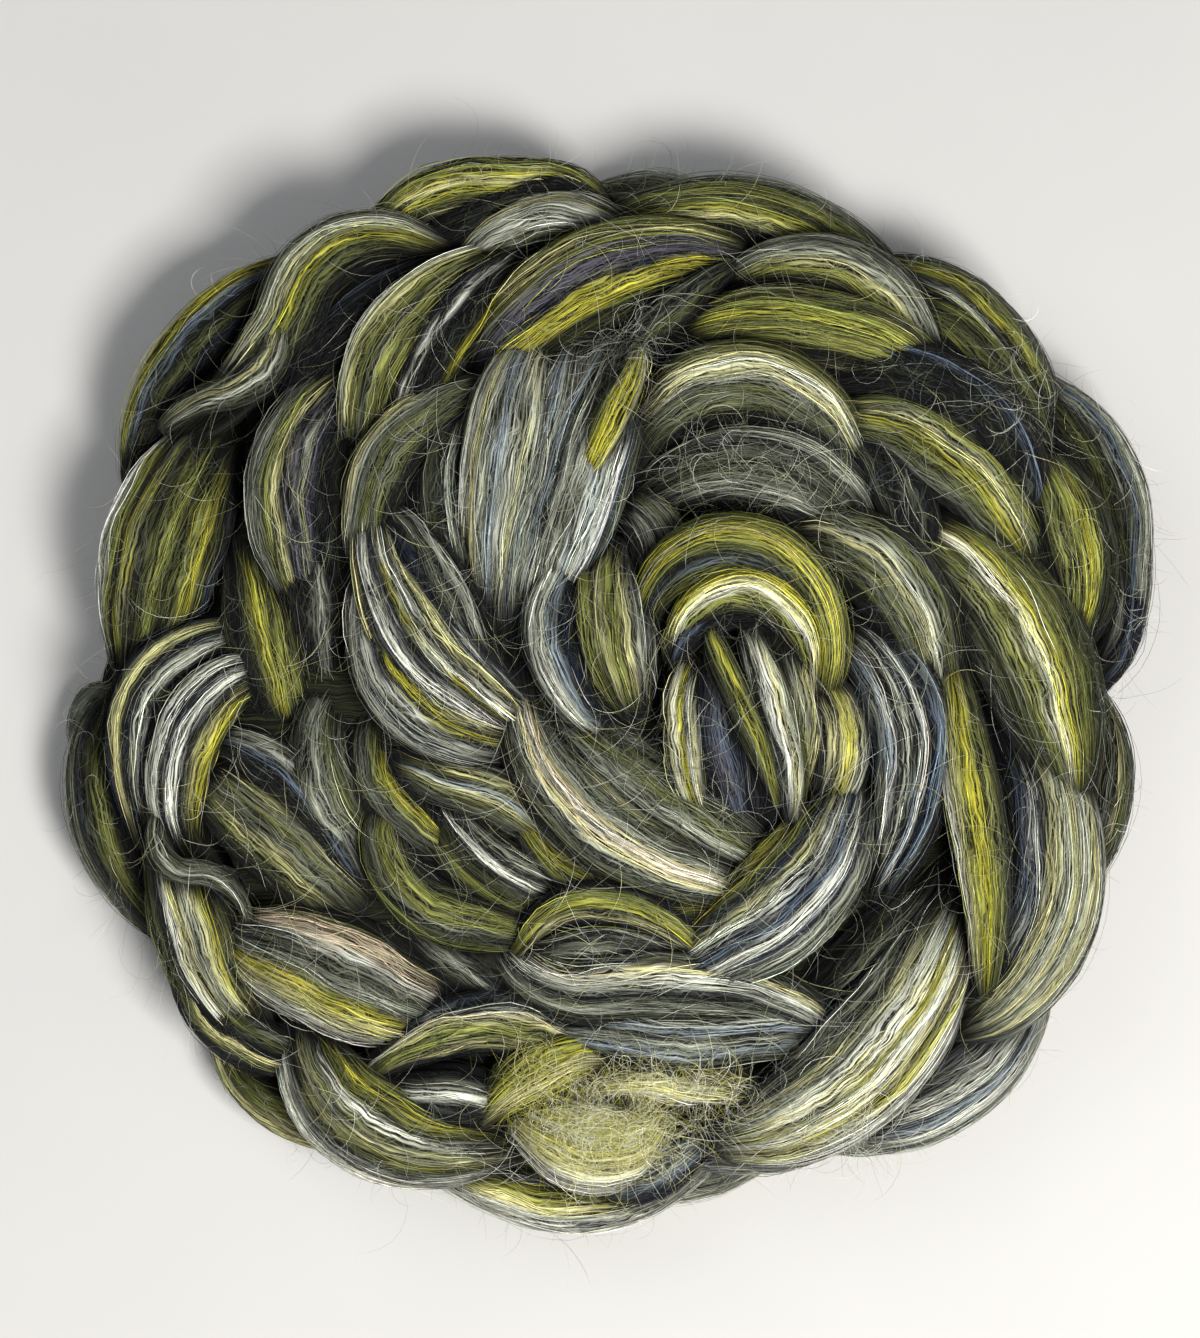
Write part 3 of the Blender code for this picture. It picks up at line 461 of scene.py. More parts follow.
def wool_material(name, fibres, locks, bump, depth):
    """Combed wool: its colour, with painted shade, from the mesh, broad and fine streaks along the fibre,
    pale fibres that stray across them, dimmed by the same painted shade, and curly frizz over all.

    fibres and locks are how many of them lie side by side in a decimetre, bump is how far they
    stand up, in millimetres, and depth is how far they are darker and lighter than the dye.
    """
    material = bpy.data.materials.new(name)
    material.use_nodes = True
    nodes = material.node_tree.nodes
    links = material.node_tree.links
    shader = nodes["Principled BSDF"]

    def fed(kind, feeds, **settings):
        """A node's first output, with the node set, and each input fed by a socket or a value."""
        node = nodes.new(kind)
        for setting, choice in settings.items():
            setattr(node, setting, choice)
        for socket, value in feeds.items():
            if isinstance(value, bpy.types.NodeSocket):
                links.new(value, node.inputs[socket])
            else:
                node.inputs[socket].default_value = value
        return node.outputs[0]

    def noise(source, scale, detail, turn=0.0, shift=0.0):
        """Noise over a place, stretched by the scale."""
        stretched = fed("ShaderNodeMapping", {
            "Vector": source, "Location": (shift, shift, shift), "Rotation": (0.0, 0.0, turn),
            "Scale": scale})
        return fed("ShaderNodeTexNoise", {
            "Vector": stretched, "Scale": 1.0, "Detail": detail, "Roughness": 0.6})

    def between(value, low, high, run, curve="LINEAR"):
        """From low to high as the value goes through the run."""
        return fed("ShaderNodeMapRange", {
            "Value": value, "From Min": run[0], "From Max": run[1], "To Min": low, "To Max": high},
            interpolation_type=curve)

    def reckon(operation, one, two):
        return fed("ShaderNodeMath", {0: one, 1: two}, operation=operation)

    def reckon_vector(operation, feeds):
        return fed("ShaderNodeVectorMath", feeds, operation=operation)

    # The mesh's colour is the wool's own with painted shade; its light is the painted shade alone.
    dye_and_shade_node = nodes.new("ShaderNodeAttribute")
    dye_and_shade_node.attribute_name = "dye"
    dye = dye_and_shade_node.outputs["Color"]
    light_node = nodes.new("ShaderNodeAttribute")
    light_node.attribute_name = "light"
    light = light_node.outputs["Fac"]
    lay = fed("ShaderNodeUVMap", {}, uv_map="lay")
    place = nodes.new("ShaderNodeTexCoord").outputs["Object"]

    def waved(swing, shift):
        """The lay of the fibres, swung to the side in waves."""
        bends = noise(lay, WAVER_SCALE, 1.0, 0.0, shift)
        swung = fed("ShaderNodeCombineXYZ", {"Y": between(bends, -swing, swing, NOISE_RUN)})
        return reckon_vector("ADD", {0: lay, 1: swung})

    def frizz(scale, shift):
        """Thin curly lines: 1 on a line, 0 off it."""
        curls = noise(place, (scale, scale, scale), 1.5, 0.0, shift)
        away = reckon("ABSOLUTE", reckon("SUBTRACT", curls, 0.5), 0.0)
        return between(away, 1.0, 0.0, (0.0, FRIZZ_WIDTH))

    fine = noise(waved(WAVER, 0.0), (STREAK_SCALE, fibres, 1.0), 2.5)
    broad = noise(waved(WAVER, 0.0), (LOCK_SCALE, locks, 1.0), 2.0)
    streaks = between(fine, 1 - depth, 1 + depth * 1.25, STREAK_RUN, "SMOOTHSTEP")
    tone = reckon("MULTIPLY", streaks, between(broad, 1 - depth * 0.8, 1 + depth * 0.5, LOCK_RUN))
    strays = []
    for turn in STRAY_TURNS:
        swung = waved(STRAY_WAVER, 3.0 + turn)
        crossing = noise(swung, (STRAY_SCALE, fibres * 0.8, 1.0), 1.0, turn, turn)
        strays.append(between(crossing, 0.0, 1.0, STRAY_RUN))
    patches = between(noise(place, (PATCH_SCALE, PATCH_SCALE, PATCH_SCALE), 1.0), *PATCHES, PATCH_RUN)
    curls = reckon("MAXIMUM", frizz(FRIZZ_SCALES[0], 0.0), frizz(FRIZZ_SCALES[1], 5.0))
    pale = reckon("MAXIMUM", reckon("MAXIMUM", *strays), reckon("MULTIPLY", curls, patches))

    dyed_and_shaded = reckon_vector("SCALE", {0: dye, "Scale": tone})
    # The pale fibres are dimmed by the same painted shade, the light that their place gets.
    lit = reckon_vector("SCALE", {0: linear(STRAY_WOOL), "Scale": light})
    lift = (STRAY_LIFT, STRAY_LIFT, STRAY_LIFT)
    brighter = reckon_vector("MULTIPLY_ADD", {0: dye, 1: lift, 2: lit})
    mixed = nodes.new("ShaderNodeMix")
    mixed.data_type = "RGBA"
    links.new(reckon("MULTIPLY", pale, STRAY_SHARE), mixed.inputs["Factor"])
    links.new(dyed_and_shaded, mixed.inputs["A"])
    links.new(brighter, mixed.inputs["B"])
    links.new(mixed.outputs["Result"], shader.inputs["Base Color"])
    links.new(between(fine, *ROUGHNESS, NOISE_RUN), shader.inputs["Roughness"])
    relief = fed("ShaderNodeBump", {"Strength": 0.9, "Distance": bump * MM, "Height": fine})
    links.new(relief, shader.inputs["Normal"])
    shader.inputs["Specular IOR Level"].default_value = 0.14
    shader.inputs["Sheen Weight"].default_value = 0.05
    shader.inputs["Sheen Roughness"].default_value = 0.5
    return material


# ---------------------------------------------------------------- one fold

def clear_marks(mesh):
    """Takes every vertex, edge and face of the mesh out of the selection."""
    for parts in (mesh.vertices, mesh.edges, mesh.polygons):
        parts.foreach_set("select", np.zeros(len(parts), bool))


def straight_bundle(name, sides, rings):
    """A straight bundle of wool along X, one unit long and one in half width, with uneven ridges."""
    clear_selection()
    bpy.ops.mesh.primitive_cylinder_add(
        vertices=sides, radius=1, depth=1, end_fill_type="TRIFAN", rotation=(0, math.pi / 2, 0))
    bundle = bpy.context.object
    bundle.name = name
    bpy.ops.object.transform_apply(location=True, rotation=True, scale=True)
    bpy.ops.object.shade_smooth()
    mesh = bundle.data
    bpy.ops.object.mode_set(mode="EDIT")
    bpy.ops.mesh.select_mode(type="EDGE")
    bpy.ops.object.mode_set(mode="OBJECT")
    clear_marks(mesh)
    for edge in mesh.edges:  # those that run along it, from end to end
        first, second = [mesh.vertices[index].co.x for index in edge.vertices]
        edge.select = abs(first - second) > 0.5
    bpy.ops.object.mode_set(mode="EDIT")
    bpy.ops.mesh.subdivide(number_cuts=rings - 2)
    bpy.ops.mesh.select_mode(type="VERT")
    near = 0.3 / sides  # less than half of the way to the next row
    for column, depth in enumerate(RIDGE_DEPTH * dice.random(sides)):
        bpy.ops.object.mode_set(mode="OBJECT")
        clear_marks(mesh)
        angle = CIRCLE * column / sides
        for vertex in mesh.vertices:  # one row of them, from end to end
            away = math.atan2(vertex.co.z, vertex.co.y) - angle
            on_skin = math.hypot(vertex.co.y, vertex.co.z) > 0.5
            vertex.select = on_skin and abs(math.sin(away / 2)) < near
        bpy.ops.object.mode_set(mode="EDIT")
        bpy.ops.transform.resize(value=(1, 1 - depth, 1 - depth), center_override=(0, 0, 0))
    bpy.ops.object.mode_set(mode="OBJECT")
    return bundle


def bundle_grid(mesh, sides, rings):
    """The bundle's vertices, ring by ring, each ring from its right side over its top."""
    places = np.array([vertex.co for vertex in mesh.vertices])
    skin = np.where(np.hypot(places[:, 1], places[:, 2]) > 0.4)[0]  # not the middles of its ends
    ring = np.rint((places[skin, 0] + 0.5) * (rings - 1)).astype(int)
    turn = np.arctan2(places[skin, 2] / THICKNESS_SHARE, -places[skin, 1])
    column = np.rint(turn / CIRCLE * sides).astype(int) % sides
    grid = np.zeros((rings, sides), int)
    grid[ring, column] = skin
    return grid


def lens(place):
    """How wide a fold is at a place from 0 to 1 along it, as a share of its widest part."""
    return TIP + (1 - TIP) * max(0.0, math.sin(math.pi * place)) ** FULLNESS


def sag(fold, place):
    """How far a fold dips at a place along it, in millimetres."""
    start = fold.tuck_in * max(0.0, 1 - place / TUCK_REACH) ** TUCK_CURVE
    end = fold.tuck_out * max(0.0, 1 - (1 - place) / TUCK_REACH) ** TUCK_CURVE
    return start + end


def fold_line(fold):
    """The line that a fold is bent along, with the fold's half width as its radius."""
    data = bpy.data.curves.new(fold.name + "_line", "CURVE")
    data.dimensions = "3D"
    data.twist_mode = "Z_UP"
    data.resolution_u = LINE_STEPS
    data.use_path = True
    data.use_stretch = True
    data.use_deform_bounds = True
    spline = data.splines.new("BEZIER")
    spline.bezier_points.add(len(fold.path) - 1)
    spline.radius_interpolation = "BSPLINE"
    half = fold.width / 2 * BELLY
    axis = fold.top - half * THICKNESS_SHARE
    last = len(fold.path) - 1
    for index, (point, (x, y)) in enumerate(zip(spline.bezier_points, fold.path)):
        place = index / last
        point.co = (Vector((x, y, axis - sag(fold, place))) - Vector(MIDDLE)) * MM
        point.radius = half * lens(place) * MM
        point.tilt = TWIST * (2 * place - 1)
        point.handle_left_type = "AUTO"
        point.handle_right_type = "AUTO"
    line = bpy.data.objects.new(data.name, data)
    bpy.context.collection.objects.link(line)
    return line


def bent_fold(fold, bundle, sides, rings):
    """A copy of the bundle, turned, flattened and bent along the fold's line, and its skin."""
    clear_selection()
    thing = bundle.copy()
    thing.data = bundle.data.copy()
    thing.name = fold.name
    bpy.context.collection.objects.link(thing)
    thing.select_set(True)
    bpy.context.view_layer.objects.active = thing
    bpy.ops.object.mode_set(mode="EDIT")
    bpy.ops.mesh.select_all(action="SELECT")
    turn = CIRCLE * int(dice.integers(sides)) / sides
    bpy.ops.transform.rotate(value=turn, orient_axis="X", center_override=(0, 0, 0))
    bpy.ops.transform.resize(value=(1, 1, THICKNESS_SHARE), center_override=(0, 0, 0))
    bpy.ops.object.mode_set(mode="OBJECT")
    grid = bundle_grid(thing.data, sides, rings)
    line = fold_line(fold)
    bend = thing.modifiers.new("bend", "CURVE")
    bend.object = line
    bend.deform_axis = "POS_X"
    bpy.ops.object.modifier_apply(modifier=bend.name)
    bpy.data.objects.remove(line, do_unlink=True)
    for vertex in thing.data.vertices:  # the low folds are pressed flat on the table
        vertex.co.z = max(vertex.co.z, 0.0)
    return Skin(fold, thing, grid)


class Skin:
    """A bent fold's surface as a net of places, each ring of it from the right side over the top."""

    def __init__(self, fold, thing, grid):
        self.fold = fold
        self.thing = thing
        self.grid = grid
        self.net = places_of(thing.data)[grid]
        along = np.gradient(self.net, axis=0)
        around = np.roll(self.net, -1, axis=1) - np.roll(self.net, 1, axis=1)
        up = np.cross(around, along)
        up /= np.linalg.norm(up, axis=2, keepdims=True) + TINY
        middle = self.net.mean(axis=1, keepdims=True)
        self.up = up if np.sum(up * (self.net - middle)) > 0 else -up
        self.length = np.linalg.norm(np.diff(middle[:, 0], axis=0), axis=1).sum()
        self.reach = np.linalg.norm(self.net - middle, axis=2).mean(axis=1)
        self.girth = CIRCLE * self.reach.max()
        lowest, highest = (0, -CRIMP_SLANT), (CIRCLE, CRIMP_SLANT)
        self.waves = [
            (dice.uniform(*size), dice.uniform(*step), *dice.uniform(lowest, highest))
            for size, step in CRIMPS]

    def crimp(self, along, turn):
        """How far the crimp turns the wool round the fold at a place."""
        swing = np.zeros(np.broadcast(along, turn).shape)
        for size, step, start, slant in self.waves:
            swing += size * np.sin(CIRCLE * along * self.length / step + start + slant * turn)
        return swing / self.reach.max()

    def at(self, values, along, turn):
        """Values of the net at places along (0 to 1) and round (radians) the fold."""
        rings, sides = self.grid.shape
        row = np.clip(along, 0, 1) * (rings - 1)
        low = np.minimum(row.astype(int), rings - 2)
        rise = (row - low)[..., None]
        column = np.mod(turn / CIRCLE, 1.0) * sides
        left = column.astype(int) % sides
        right = (left + 1) % sides
        run = (column - np.floor(column))[..., None]
        near = values[low, left] * (1 - run) + values[low, right] * run
        far = values[low + 1, left] * (1 - run) + values[low + 1, right] * run
        return near * (1 - rise) + far * rise


# ---------------------------------------------------------------- what shows, and its painted shade

def bearing_step(angle):
    """Which step round the outline lies at an angle in radians."""
    return ((angle / CIRCLE + 0.5) * BEARINGS).astype(int) % BEARINGS


class Lie:
    """The height of the braid's top over the table, and its outline, from all the folds."""

    def __init__(self, skins):
        self.top = np.zeros((FIELD, FIELD))
        self.edge = np.zeros(BEARINGS)
        steps, turns = FIELD_LOOKS
        along, turn = np.meshgrid(np.linspace(0, 1, steps), np.linspace(0, CIRCLE, turns))
        for skin in skins:
            places = skin.at(skin.net, along, turn).reshape(-1, 3)
            np.maximum.at(self.top, self.spots(places), places[:, 2])
            np.maximum.at(self.edge, self.bearing(places), np.hypot(places[:, 0], places[:, 1]))

    def spots(self, places):
        cells = np.clip((places[..., :2] + FIELD / 2).astype(int), 0, FIELD - 1)
        return cells[..., 0], cells[..., 1]

    def bearing(self, places):
        return bearing_step(np.arctan2(places[..., 1], places[..., 0]))

    def height(self, places):
        return self.top[self.spots(places)]

    def shows(self, places, up):
        """Whether each place shows from above or from outside."""
        above = places[..., 2] > self.height(places) - SEEN_DEPTH
        away = np.hypot(places[..., 0], places[..., 1])
        outward = np.sum(places[..., :2] * up[..., :2], axis=-1) / (away + TINY)
        outside = (away > self.edge[self.bearing(places)] - SEEN_EDGE) & (outward > SEEN_OUTWARD)
        return above | (outside & (places[..., 2] > SEEN_LOW))

    def openness(self, places):
        """From 0 deep between folds to 1 in the open, by how high the folds around rise."""
        total = np.zeros(places.shape[:-1])
        for bearing in np.arange(OPEN_BEARINGS) * CIRCLE / OPEN_BEARINGS:
            aim = np.array((math.cos(bearing), math.sin(bearing), 0.0))
            rise = np.zeros(places.shape[:-1])
            for reach in OPEN_REACHES:
                over = self.height(places + aim * reach) - places[..., 2]
                rise = np.maximum(rise, np.maximum(over, 0) / reach)
            total += 1 - rise / np.sqrt(1 + rise * rise)
        return total / OPEN_BEARINGS

    def light(self, places):
        """How much of its colour wool keeps here, as painted shade: little, deep between folds, more low
        down outside.
        """
        above = smooth((self.openness(places) - CLOSED) / (OPEN - CLOSED))
        away = np.hypot(places[..., 0], places[..., 1])
        outside = smooth((away - self.edge[self.bearing(places)]) / SIDE_REACH + 1)
        outside *= smooth((SIDE_TOP - places[..., 2]) / SIDE_BLEND) * SIDE_LIGHT
        return DARKEST + (1 - DARKEST) * np.maximum(above, outside)


def smooth(share):
    """The share, kept from 0 to 1 and eased at both ends."""
    share = np.clip(share, 0, 1)
    return share * share * (3 - 2 * share)


def end_shade(along):
    """How much of its colour wool keeps towards the ends of a fold, under painted shade."""
    return END_SHADE + (1 - END_SHADE) * smooth(np.minimum(along, 1 - along) / END_REACH)


def across(turn):
    """Where a turn round the fold lies between its left side, 0, and its right side, 1."""
    return (1 + np.cos(turn)) / 2


def stripes_of(fold):
    """The colours of a fold's, or a hair's, wools."""
    return np.array([WOOL_LINEAR[letter] for letter in fold.wools])


def melted_wools(fold, share):
    """The wools across a fold, melting into each other."""
    stripes = stripes_of(fold)
    place = np.clip(share * len(stripes) - 0.5, 0, len(stripes) - 1.001)  # just short of the last
    low = place.astype(int)
    blend = (place - low)[..., None]
    return stripes[low] * (1 - blend) + stripes[low + 1] * blend


def clear_wools(fold, share):
    """The one wool that lies at each place across a fold."""
    stripes = stripes_of(fold)
    place = np.clip(share * len(stripes), 0, len(stripes) - 0.01)  # just inside the last
    return stripes[place.astype(int)]


def corners_of(mesh):
    """The vertex at each corner of the mesh's faces."""
    corners = np.zeros(len(mesh.loops), int)
    mesh.loops.foreach_get("vertex_index", corners)
    return corners


def places_of(mesh):
    """The mesh's vertices, in millimetres."""
    return np.array([vertex.co for vertex in mesh.vertices]) / MM


def set_dye_and_shade(mesh, colours):
    """The wool's colour with painted shade and, as the fourth value, how much light its place gets, the
    painted shade alone.
    """
    dye = mesh.color_attributes.new("dye", "FLOAT_COLOR", "POINT")
    values = np.ones((len(mesh.vertices), 4), np.float32)
    values[:, :3] = colours[:, :3]
    dye.data.foreach_set("color", values.ravel())
    light = mesh.attributes.new("light", "FLOAT", "POINT")
    light.data.foreach_set("value", colours[:, 3].astype(np.float32))


def set_lay(mesh, along, around):
    """The lay of the fibres, in decimetres along and round each corner of the mesh's faces."""
    layer = mesh.uv_layers.new(name="lay")
    values = np.stack((along, around), axis=1).astype(np.float32) / DECIMETRE
    layer.data.foreach_set("uv", values.ravel())


def dress_fold(skin, lie):
    """Gives a fold its wools, with painted shade under its wisps, deep between folds and at its ends, and
    the lay of its fibres.
    """
    mesh = skin.thing.data
    rings, sides = skin.grid.shape
    count = len(mesh.vertices)
    ring = np.full(count, -1)
    column = np.zeros(count, int)
    ring[skin.grid] = np.arange(rings)[:, None]
    column[skin.grid] = np.arange(sides)[None, :]
    places = places_of(mesh)
    for tip in np.where(ring < 0)[0]:
        starts = np.linalg.norm(places[tip] - skin.net[0, 0])
        ends = np.linalg.norm(places[tip] - skin.net[-1, 0])
        ring[tip] = 0 if starts < ends else rings - 1
    along = ring / (rings - 1)
    turn = column * CIRCLE / sides
    share = across(turn - skin.crimp(along, turn))
    # Painted shade: darker under the wisps, deep between folds and towards the tucked ends.
    wools = melted_wools(skin.fold, share) * UNDER_SHADE
    light = lie.light(places) * end_shade(along)
    set_dye_and_shade(mesh, np.column_stack((wools * light[:, None], light)))
    corner = corners_of(mesh)
    starts = np.zeros(len(mesh.polygons), int)
    mesh.polygons.foreach_get("loop_start", starts)
    sizes = np.diff(np.append(starts, len(corner)))
    widest = np.repeat(np.maximum.reduceat(column[corner], starts), sizes)
    wrapped = (widest == sides - 1) & (column[corner] == 0)
    around = (column[corner] + sides * wrapped) * skin.girth / sides
    along = ring[corner] * skin.length / (rings - 1)
    shift = dice.random(2) * LAY_SHIFT
    set_lay(mesh, along + shift[0], around + shift[1])


def join_folds(name, skins, material):
    """Makes one piece of the dressed folds."""
    clear_selection()
    for skin in skins:
        skin.thing.select_set(True)
    bpy.context.view_layer.objects.active = skins[0].thing
    bpy.ops.object.join()
    piece = bpy.context.object
    piece.name = name
    take_in(piece, material)


def take_in(piece, material):
    """Makes a finished mesh part of the braid."""
    piece.data.name = piece.name
    piece.data.materials.clear()
    piece.data.materials.append(material)
    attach(piece, "root")
    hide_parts(NODE)


def low_turn_folds():
    """The plait's folds on the table: each starts mid-plait and bulges out over one edge."""
    folds = []
    for edge, (radius, bulge, count) in enumerate(LOW_EDGES):
        step = CIRCLE / count
        for index in range(count):
            path = []
            for place in np.linspace(0, 1, LOW_POINTS):
                angle = step * (index + LOW_OVERLAP * place)
                out = radius + bulge * math.sin(math.pi * place)
                path.append((out * math.cos(angle), out * math.sin(angle)))
            wools = LOW_WOOLS[(edge + index) % len(LOW_WOOLS)]
            name = f"low_{edge}_{index}"
            folds.append(Fold(name, LOW_WIDTH, LOW_TOP, *LOW_TUCKS, tuple(path), wools))
    return folds


def lay_heart(material):
    """The wool in the middle of the coil, which shows only between the folds: dark olive darkened by
    painted shade.
    """
    clear_selection()
    segments, rings = HEART_STEPS
    bpy.ops.mesh.primitive_uv_sphere_add(segments=segments, ring_count=rings, radius=1)
    heart = bpy.context.object
    heart.name = "heart"
    bpy.ops.object.mode_set(mode="EDIT")
    bpy.ops.mesh.select_all(action="SELECT")
    size = (HEART_RADIUS * MM, HEART_RADIUS * MM, (HEART_HIGH - HEART_LOW) / 2 * MM)
    bpy.ops.transform.resize(value=size, center_override=(0, 0, 0))
    bpy.ops.transform.translate(value=(0, 0, (HEART_HIGH + HEART_LOW) / 2 * MM))
    bpy.ops.object.mode_set(mode="OBJECT")
    bpy.ops.object.shade_smooth()
    mesh = heart.data
    for layer in list(mesh.uv_layers):
        mesh.uv_layers.remove(layer)
    # Painted shade: dark olive darkened to the heart's share, with no light for the pale fibres of its
    # material.
    set_dye_and_shade(mesh, np.tile((*WOOL_LINEAR["d"] * HEART_SHADE, 0.0), (len(mesh.vertices), 1)))
    corner = corners_of(mesh)
    places = places_of(mesh)
    set_lay(mesh, places[corner, 0], places[corner, 1])
    take_in(heart, material)


# ---------------------------------------------------------------- locks and fibres

Strands = namedtuple("Strands", "places up half_wide colours")


def wisp_wools(fold, share, mixed):
    """The wool at each place across a fold, some of it strayed from the fold's other wools."""
    stripes = stripes_of(fold)
    strayed = stripes[dice.integers(len(stripes), size=len(share))]
    return np.where((dice.random(len(share)) < mixed)[:, None], strayed, clear_wools(fold, share))


def lay_strands(skin, lie, lay):
    """Wisps of wool on a fold's skin, cut to where they show, with painted shade, in sets of like length.
    """
    wisps = int(lay.per_mm * skin.girth * (0.5 + skin.length / DECIMETRE))
    count = wisps * lay.together

    def shared(values):
        return np.repeat(values, lay.together)

    long = shared(dice.uniform(lay.shortest, lay.longest, wisps))
    long = long * dice.uniform(*FIBRE_LENGTHS, count)
    middle = shared(dice.uniform(0.0, 1.0, wisps)) + dice.normal(0, FIBRE_SLIP, count)
    start = np.clip(middle - long / 2, FIRST_START, LAST_START)
    end = np.clip(middle + long / 2, FIRST_END, LAST_END)
    turn = shared(dice.uniform(0, CIRCLE, wisps))
    turn += dice.normal(0, lay.spread, count) / skin.reach.max()
    drift = shared(dice.normal(0, lay.drift, wisps))
    drift = drift + dice.normal(0, lay.drift * FIBRE_DRIFT, count)
    sway = shared(dice.normal(0, lay.sway, wisps))
    beat = shared(dice.uniform(*SWAY_BEATS, wisps))
    phase = shared(dice.uniform(0, CIRCLE, wisps))
    lively = shared(dice.uniform(*CRIMP_SHARES, wisps))
    ahead = dice.normal(0, CRIMP_SLIPS[0], count) + shared(dice.normal(0, CRIMP_SLIPS[1], wisps))

    def course(along):
        """How far round the fold each strand lies at places along it."""
        wave = sway[:, None] * np.sin(beat[:, None] * CIRCLE * along + phase[:, None])
        base = turn[:, None] + drift[:, None] * (along - 0.5) + wave
        return base + lively[:, None] * skin.crimp(along + ahead[:, None], base)

    look = np.linspace(0, 1, LOOKS)
    along = start[:, None] + (end - start)[:, None] * look
    turns = course(along)
    seen = lie.shows(skin.at(skin.net, along, turns), skin.at(skin.up, along, turns))
    first = np.argmax(seen, axis=1)
    last = len(look) - 1 - np.argmax(seen[:, ::-1], axis=1)
    kept = (seen.sum(axis=1) >= LEAST_LOOKS) & (last - first >= LEAST_LOOKS)
    first = look[np.maximum(first - 1, 0)]
    last = look[np.minimum(last + 1, len(look) - 1)]
    new_start = start + (end - start) * first
    new_end = start + (end - start) * last
    wools = wisp_wools(skin.fold, across(turn + dice.normal(0, lay.stray, count)), lay.mixed)
    tone = np.exp(shared(dice.normal(0, lay.tone, wisps)) + dice.normal(0, lay.grain, count))
    wools = wools * tone[:, None] * np.exp(dice.normal(0, FIBRE_HUE, (count, 3)))
    wools = np.column_stack((wools, np.ones(count)))
    lift = dice.uniform(lay.low, lay.high, count)
    arch = dice.exponential(lay.bow, count)
    half = dice.uniform(*lay.wide, count)
    needed = (new_end - new_start) * skin.length / STRAND_STEP
    size = np.searchsorted(STRAND_POINTS[:-1], needed)
    sets = {}
    for index, points in enumerate(STRAND_POINTS):
        mine = kept & (size == index)
        if not mine.any():
            continue
        place = np.linspace(0, 1, points)
        along = new_start[:, None] + (new_end - new_start)[:, None] * place
        turns = course(along)[mine]
        along = along[mine]
        up = skin.at(skin.up, along, turns)
        up /= np.linalg.norm(up, axis=-1, keepdims=True) + TINY
        bow = np.sin(math.pi * place)
        rise = lift[mine, None] + arch[mine, None] * bow
        places = skin.at(skin.net, along, turns) + up * rise[..., None]
        places[..., 2] = np.maximum(places[..., 2], TABLE_GAP)
        taper = np.maximum(bow, 0.0) ** TAPER_CURVE * (1 - TAPER_TIP) + TAPER_TIP
        wide = half[mine, None] * taper
        # Painted shade, deep between folds and at tucked ends, darkens the strands' colour and is kept as
        # their light.
        shade = lie.light(places) * end_shade(along)
        sets[points] = Strands(places, up, wide, wools[mine, None, :] * shade[..., None])
    return sets


def strand_triangles(points):
    """The triangles of a strand's walls and ends."""
    return 2 * STRAND_SIDES * (points - 1) + 2 * (STRAND_SIDES - 2)


def tubes(strands):
    """Closed, tapered tubes along the strands' places: corners, faces, colours and lay."""
    places, up, wide, colours = strands
    count, points = wide.shape
    run = np.gradient(places, axis=1)
    run /= np.linalg.norm(run, axis=2, keepdims=True) + TINY
    side = np.cross(run, up)
    side /= np.linalg.norm(side, axis=2, keepdims=True) + TINY
    rise = np.cross(side, run)
    angle = np.arange(STRAND_SIDES) * CIRCLE / STRAND_SIDES
    ring = (side[:, :, None] * (wide[..., None] * np.cos(angle))[..., None]
            + rise[:, :, None] * (wide[..., None] * np.sin(angle))[..., None])
    corners = (places[:, :, None] + ring).reshape(-1, 3) * MM
    index = np.arange(count * points * STRAND_SIDES).reshape(count, points, STRAND_SIDES)
    ahead = np.roll(index, -1, axis=2)
    walls = np.stack((index[:, :-1], index[:, 1:], ahead[:, 1:], ahead[:, :-1]), axis=-1)
    ends = np.concatenate((index[:, 0], index[:, -1, ::-1]))
    steps = np.linalg.norm(np.diff(places, axis=1), axis=2).cumsum(axis=1)
    shift = dice.random((count, 1)) * STRAND_SHIFT
    along = np.repeat(np.concatenate((shift, shift + steps), axis=1).reshape(-1), STRAND_SIDES)
    around = np.repeat(dice.random(count) * STRAND_SHIFT, points * STRAND_SIDES)
    around = around + np.tile(np.arange(STRAND_SIDES) * STRAND_SIDE_STEP, count * points)
    colours = np.repeat(colours.reshape(-1, 4), STRAND_SIDES, axis=0)
    return corners, walls.reshape(-1, 4).tolist() + ends.tolist(), colours, along, around


def strand_piece(name, sets, material):
    """One mesh of all the sets' tubes."""
    corners, faces, colours, along, around = [], [], [], [], []
    for strands in sets:
        parts = tubes(strands)
        first = sum(len(block) for block in corners)
        corners.append(parts[0])
        faces += [[first + corner for corner in face] for face in parts[1]]
        for column, part in zip((colours, along, around), parts[2:]):
            column.append(part)
    mesh = bpy.data.meshes.new(name)
    mesh.from_pydata(np.concatenate(corners).tolist(), [], faces)
    mesh.polygons.foreach_set("use_smooth", np.ones(len(mesh.polygons), bool))
    set_dye_and_shade(mesh, np.concatenate(colours))
    corner = corners_of(mesh)
    set_lay(mesh, np.concatenate(along)[corner], np.concatenate(around)[corner])
    piece = bpy.data.objects.new(name, mesh)
    bpy.context.collection.objects.link(piece)
    take_in(piece, material)


def lay_pieces(name, sets, material, most):
    """The strands, thinned to the most triangles, as meshes small enough to keep each of them."""
    total = sum(strand_triangles(points) * len(strands.half_wide) for points, strands in sets.items())
    share = min(1.0, most / total)
    kept = []
    for points, strands in sorted(sets.items()):
        chosen = dice.permutation(len(strands.half_wide))[:int(share * len(strands.half_wide))]
        kept.append(Strands(*[column[chosen] for column in strands]))
    parts = math.ceil(total * share / MOST_TRIANGLES)
    for part in range(parts):
        mine = [Strands(*[column[part::parts] for column in strands]) for strands in kept]
        strand_piece(f"{name}_{part + 1}", mine, material)


